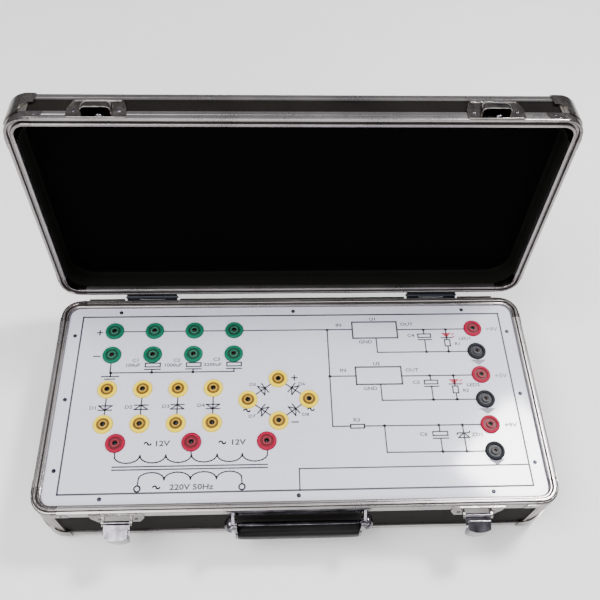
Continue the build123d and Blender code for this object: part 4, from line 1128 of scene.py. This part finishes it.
lamps = beginPiece("lamps")
for x, top in ((152.1, 67.7), (152.6, 16)):
    filled([(x - 5.3, top), (x + 5.3, top), (x, top - 5.4)])
    for low in (0.6, 4):
        stroke([(x + 5.6, top - low - 1.5), (x + 7.6, top - low)], printing["glint"])
printed(lamps, "printedLamps", "pinkInk")
earths = beginPiece("earths")
for y in (34.1, -17.7, -67.6):
    filled([(171.7, y + 2.9), (188.1, y + 2.9), (179.9, y - 2.9)])
    stroke([(179.9, y + 2.9), (179.9, y + 8)])
printed(earths, "printedEarths", "paleInk")
print("circuit printed")

# Letters: text, middle of the word, and its height
letterings = {
    "ink": [
        ("12V", -121.8, -44.8, 7.2), ("12V", -53.6, -44.7, 7.2), ("220V 50Hz", -93.5, -85.4, 7),
        ("U1", 79.8, 84.5, 4.8), ("U2", 79.4, 33.6, 4.8)],
    "fadedInk": [
        ("C1", -152.7, 40.6, 4.8), ("100uF", -155.4, 35.3, 4.8), ("C2", -113.5, 40.2, 4.8),
        ("1000uF", -117, 34.9, 4.8), ("C3", -75.4, 40.7, 4.8), ("2200uF", -79, 35.1, 4.8),
        ("D1", -187.4, -8.9, 4.8), ("D2", -155, -8.5, 4.8), ("D3", -120.8, -8.3, 4.8),
        ("D4", -88.4, -7.7, 4.8),
        ("D5", -40.5, 13, 4.4), ("D6", 6, 13, 4.4), ("D7", -41, -19.5, 4.4), ("D8", 8.6, -18.5, 4.4),
        ("IN", 45, 77.8, 5), ("OUT", 113.6, 78.1, 5), ("GND", 70.6, 58.2, 5),
        ("IN", 46.3, 26.9, 5), ("OUT", 113.3, 26.4, 5), ("GND", 71.2, 7.2, 5),
        ("C4", 116.5, 65, 5), ("C5", 116, 13, 5), ("C6", 116.5, -40, 5), ("LED1", 170.4, 61, 4.8),
        ("R1", 162.4, 55, 4.6), ("LED2", 170.6, 9.6, 4.8), ("R2", 162.6, 3.8, 4.6), ("R3", 55.8, -24.9, 5),
        ("ZD1", 166.4, -41.2, 5)],
    "paleInk": [("+9V", 199, 71.4, 6), ("+5V", 199, 19, 6), ("+9V", 199, -32.3, 6)],
}
for finish, words in letterings.items():
    letters = []
    for text, x, y, height in words:
        bpy.ops.object.text_add(location=Vector((x, y, printing["letterRise"])) * mm)
        word = bpy.context.object
        word.data.body = text
        word.data.size = height * mm
        word.data.align_x = "CENTER"
        word.data.align_y = "CENTER"
        word.data.extrude = printing["letterDepth"] * mm
        word.data.offset = printing["bold"] * height * mm
        word.data.resolution_u = printing["letterSteps"]
        word.scale.x = printing["wide"]
        bpy.ops.object.convert(target="MESH")
        bpy.ops.object.transform_apply(location=True, rotation=True, scale=True)
        letters.append(word)
    lettering = joined("lettering", letters)
    lettering.data.materials.clear()
    lettering.data.materials.append(finishes[finish])
    lifted = panelFrame @ moved(0, 0, printing["letterLift"])
    fitted(copiesOf(lettering, finish + "Lettering", [lifted]), "base")
print("letters printed")


# Floor and light, in metres
stageShape = {"floor": 8, "glintX": 200, "glintY": -66, "windowAway": 1.5}
bpy.ops.mesh.primitive_plane_add(size=stageShape["floor"], location=(0, 0, 0))
floor = bpy.context.object
floor.name = "paleFloor"
floorPaper = makeFinish("floorPaper", "#fdfdfc", "#fafaf9", 0.95, 40, dust=0, wearAndHighlight=0, gloss=0.1)
floor.data.materials.append(floorPaper)

# A window-like light stands where the panel's near right corner mirrors it to the photograph's viewpoint
glint = (panelFrame @ moved(stageShape["glintX"], stageShape["glintY"])).to_translation()
sight = Vector(cameraView["place"]) * mm - glint
window = glint + Vector((-sight.x, -sight.y, sight.z)).normalized() * stageShape["windowAway"]
# Each light's place, what it aims at, its width and height, and its power in watts
lights = {
    "windowLight": (window, glint, 0.26, 0.26, 22),
    "keyLight": ((-0.8, -0.3, 1.9), (0, 0, 0.1), 1.2, 1.2, 42),
    "frontLight": ((0.5, -1.6, 1.1), (0, 0, 0.1), 1.4, 0.5, 16),
    "lowLight": ((-0.2, -1.3, 0.35), (0, 0, 0.05), 0.9, 0.2, 4),
}
for name, (place, aim, width, height, power) in lights.items():
    facing = (Vector(aim) - Vector(place)).to_track_quat("-Z", "Y").to_euler()
    bpy.ops.object.light_add(type="AREA", location=place, rotation=facing)
    lamp = bpy.context.object
    lamp.name = name
    lamp.data.shape = "RECTANGLE"
    lamp.data.size = width
    lamp.data.size_y = height
    lamp.data.energy = power

# The room: bright overhead and darker towards the horizon, for contrast in the metal
world = bpy.data.worlds.new("studio")
world.use_nodes = True
sky = {
    "low": [0.16, 0.165, 0.18, 1], "high": [0.95, 0.97, 1.0, 1], "from": -0.15, "to": 0.85, "strength": 0.62}
tree = world.node_tree
view = addNode(tree, "TexCoord")
split = addNode(tree, "SeparateXYZ")
upward = addRamp(tree, sky["from"], sky["to"])
backdrop = tree.nodes["Background"].inputs
backdrop["Strength"].default_value = sky["strength"]
wire(
    tree,
    (view.outputs["Object"], split.inputs[0]), (split.outputs["Z"], upward.inputs["Value"]),
    (mixColor(tree, upward.outputs[0], sky["low"], sky["high"]), backdrop["Color"]))
bpy.context.scene.world = world
print("stage lit")
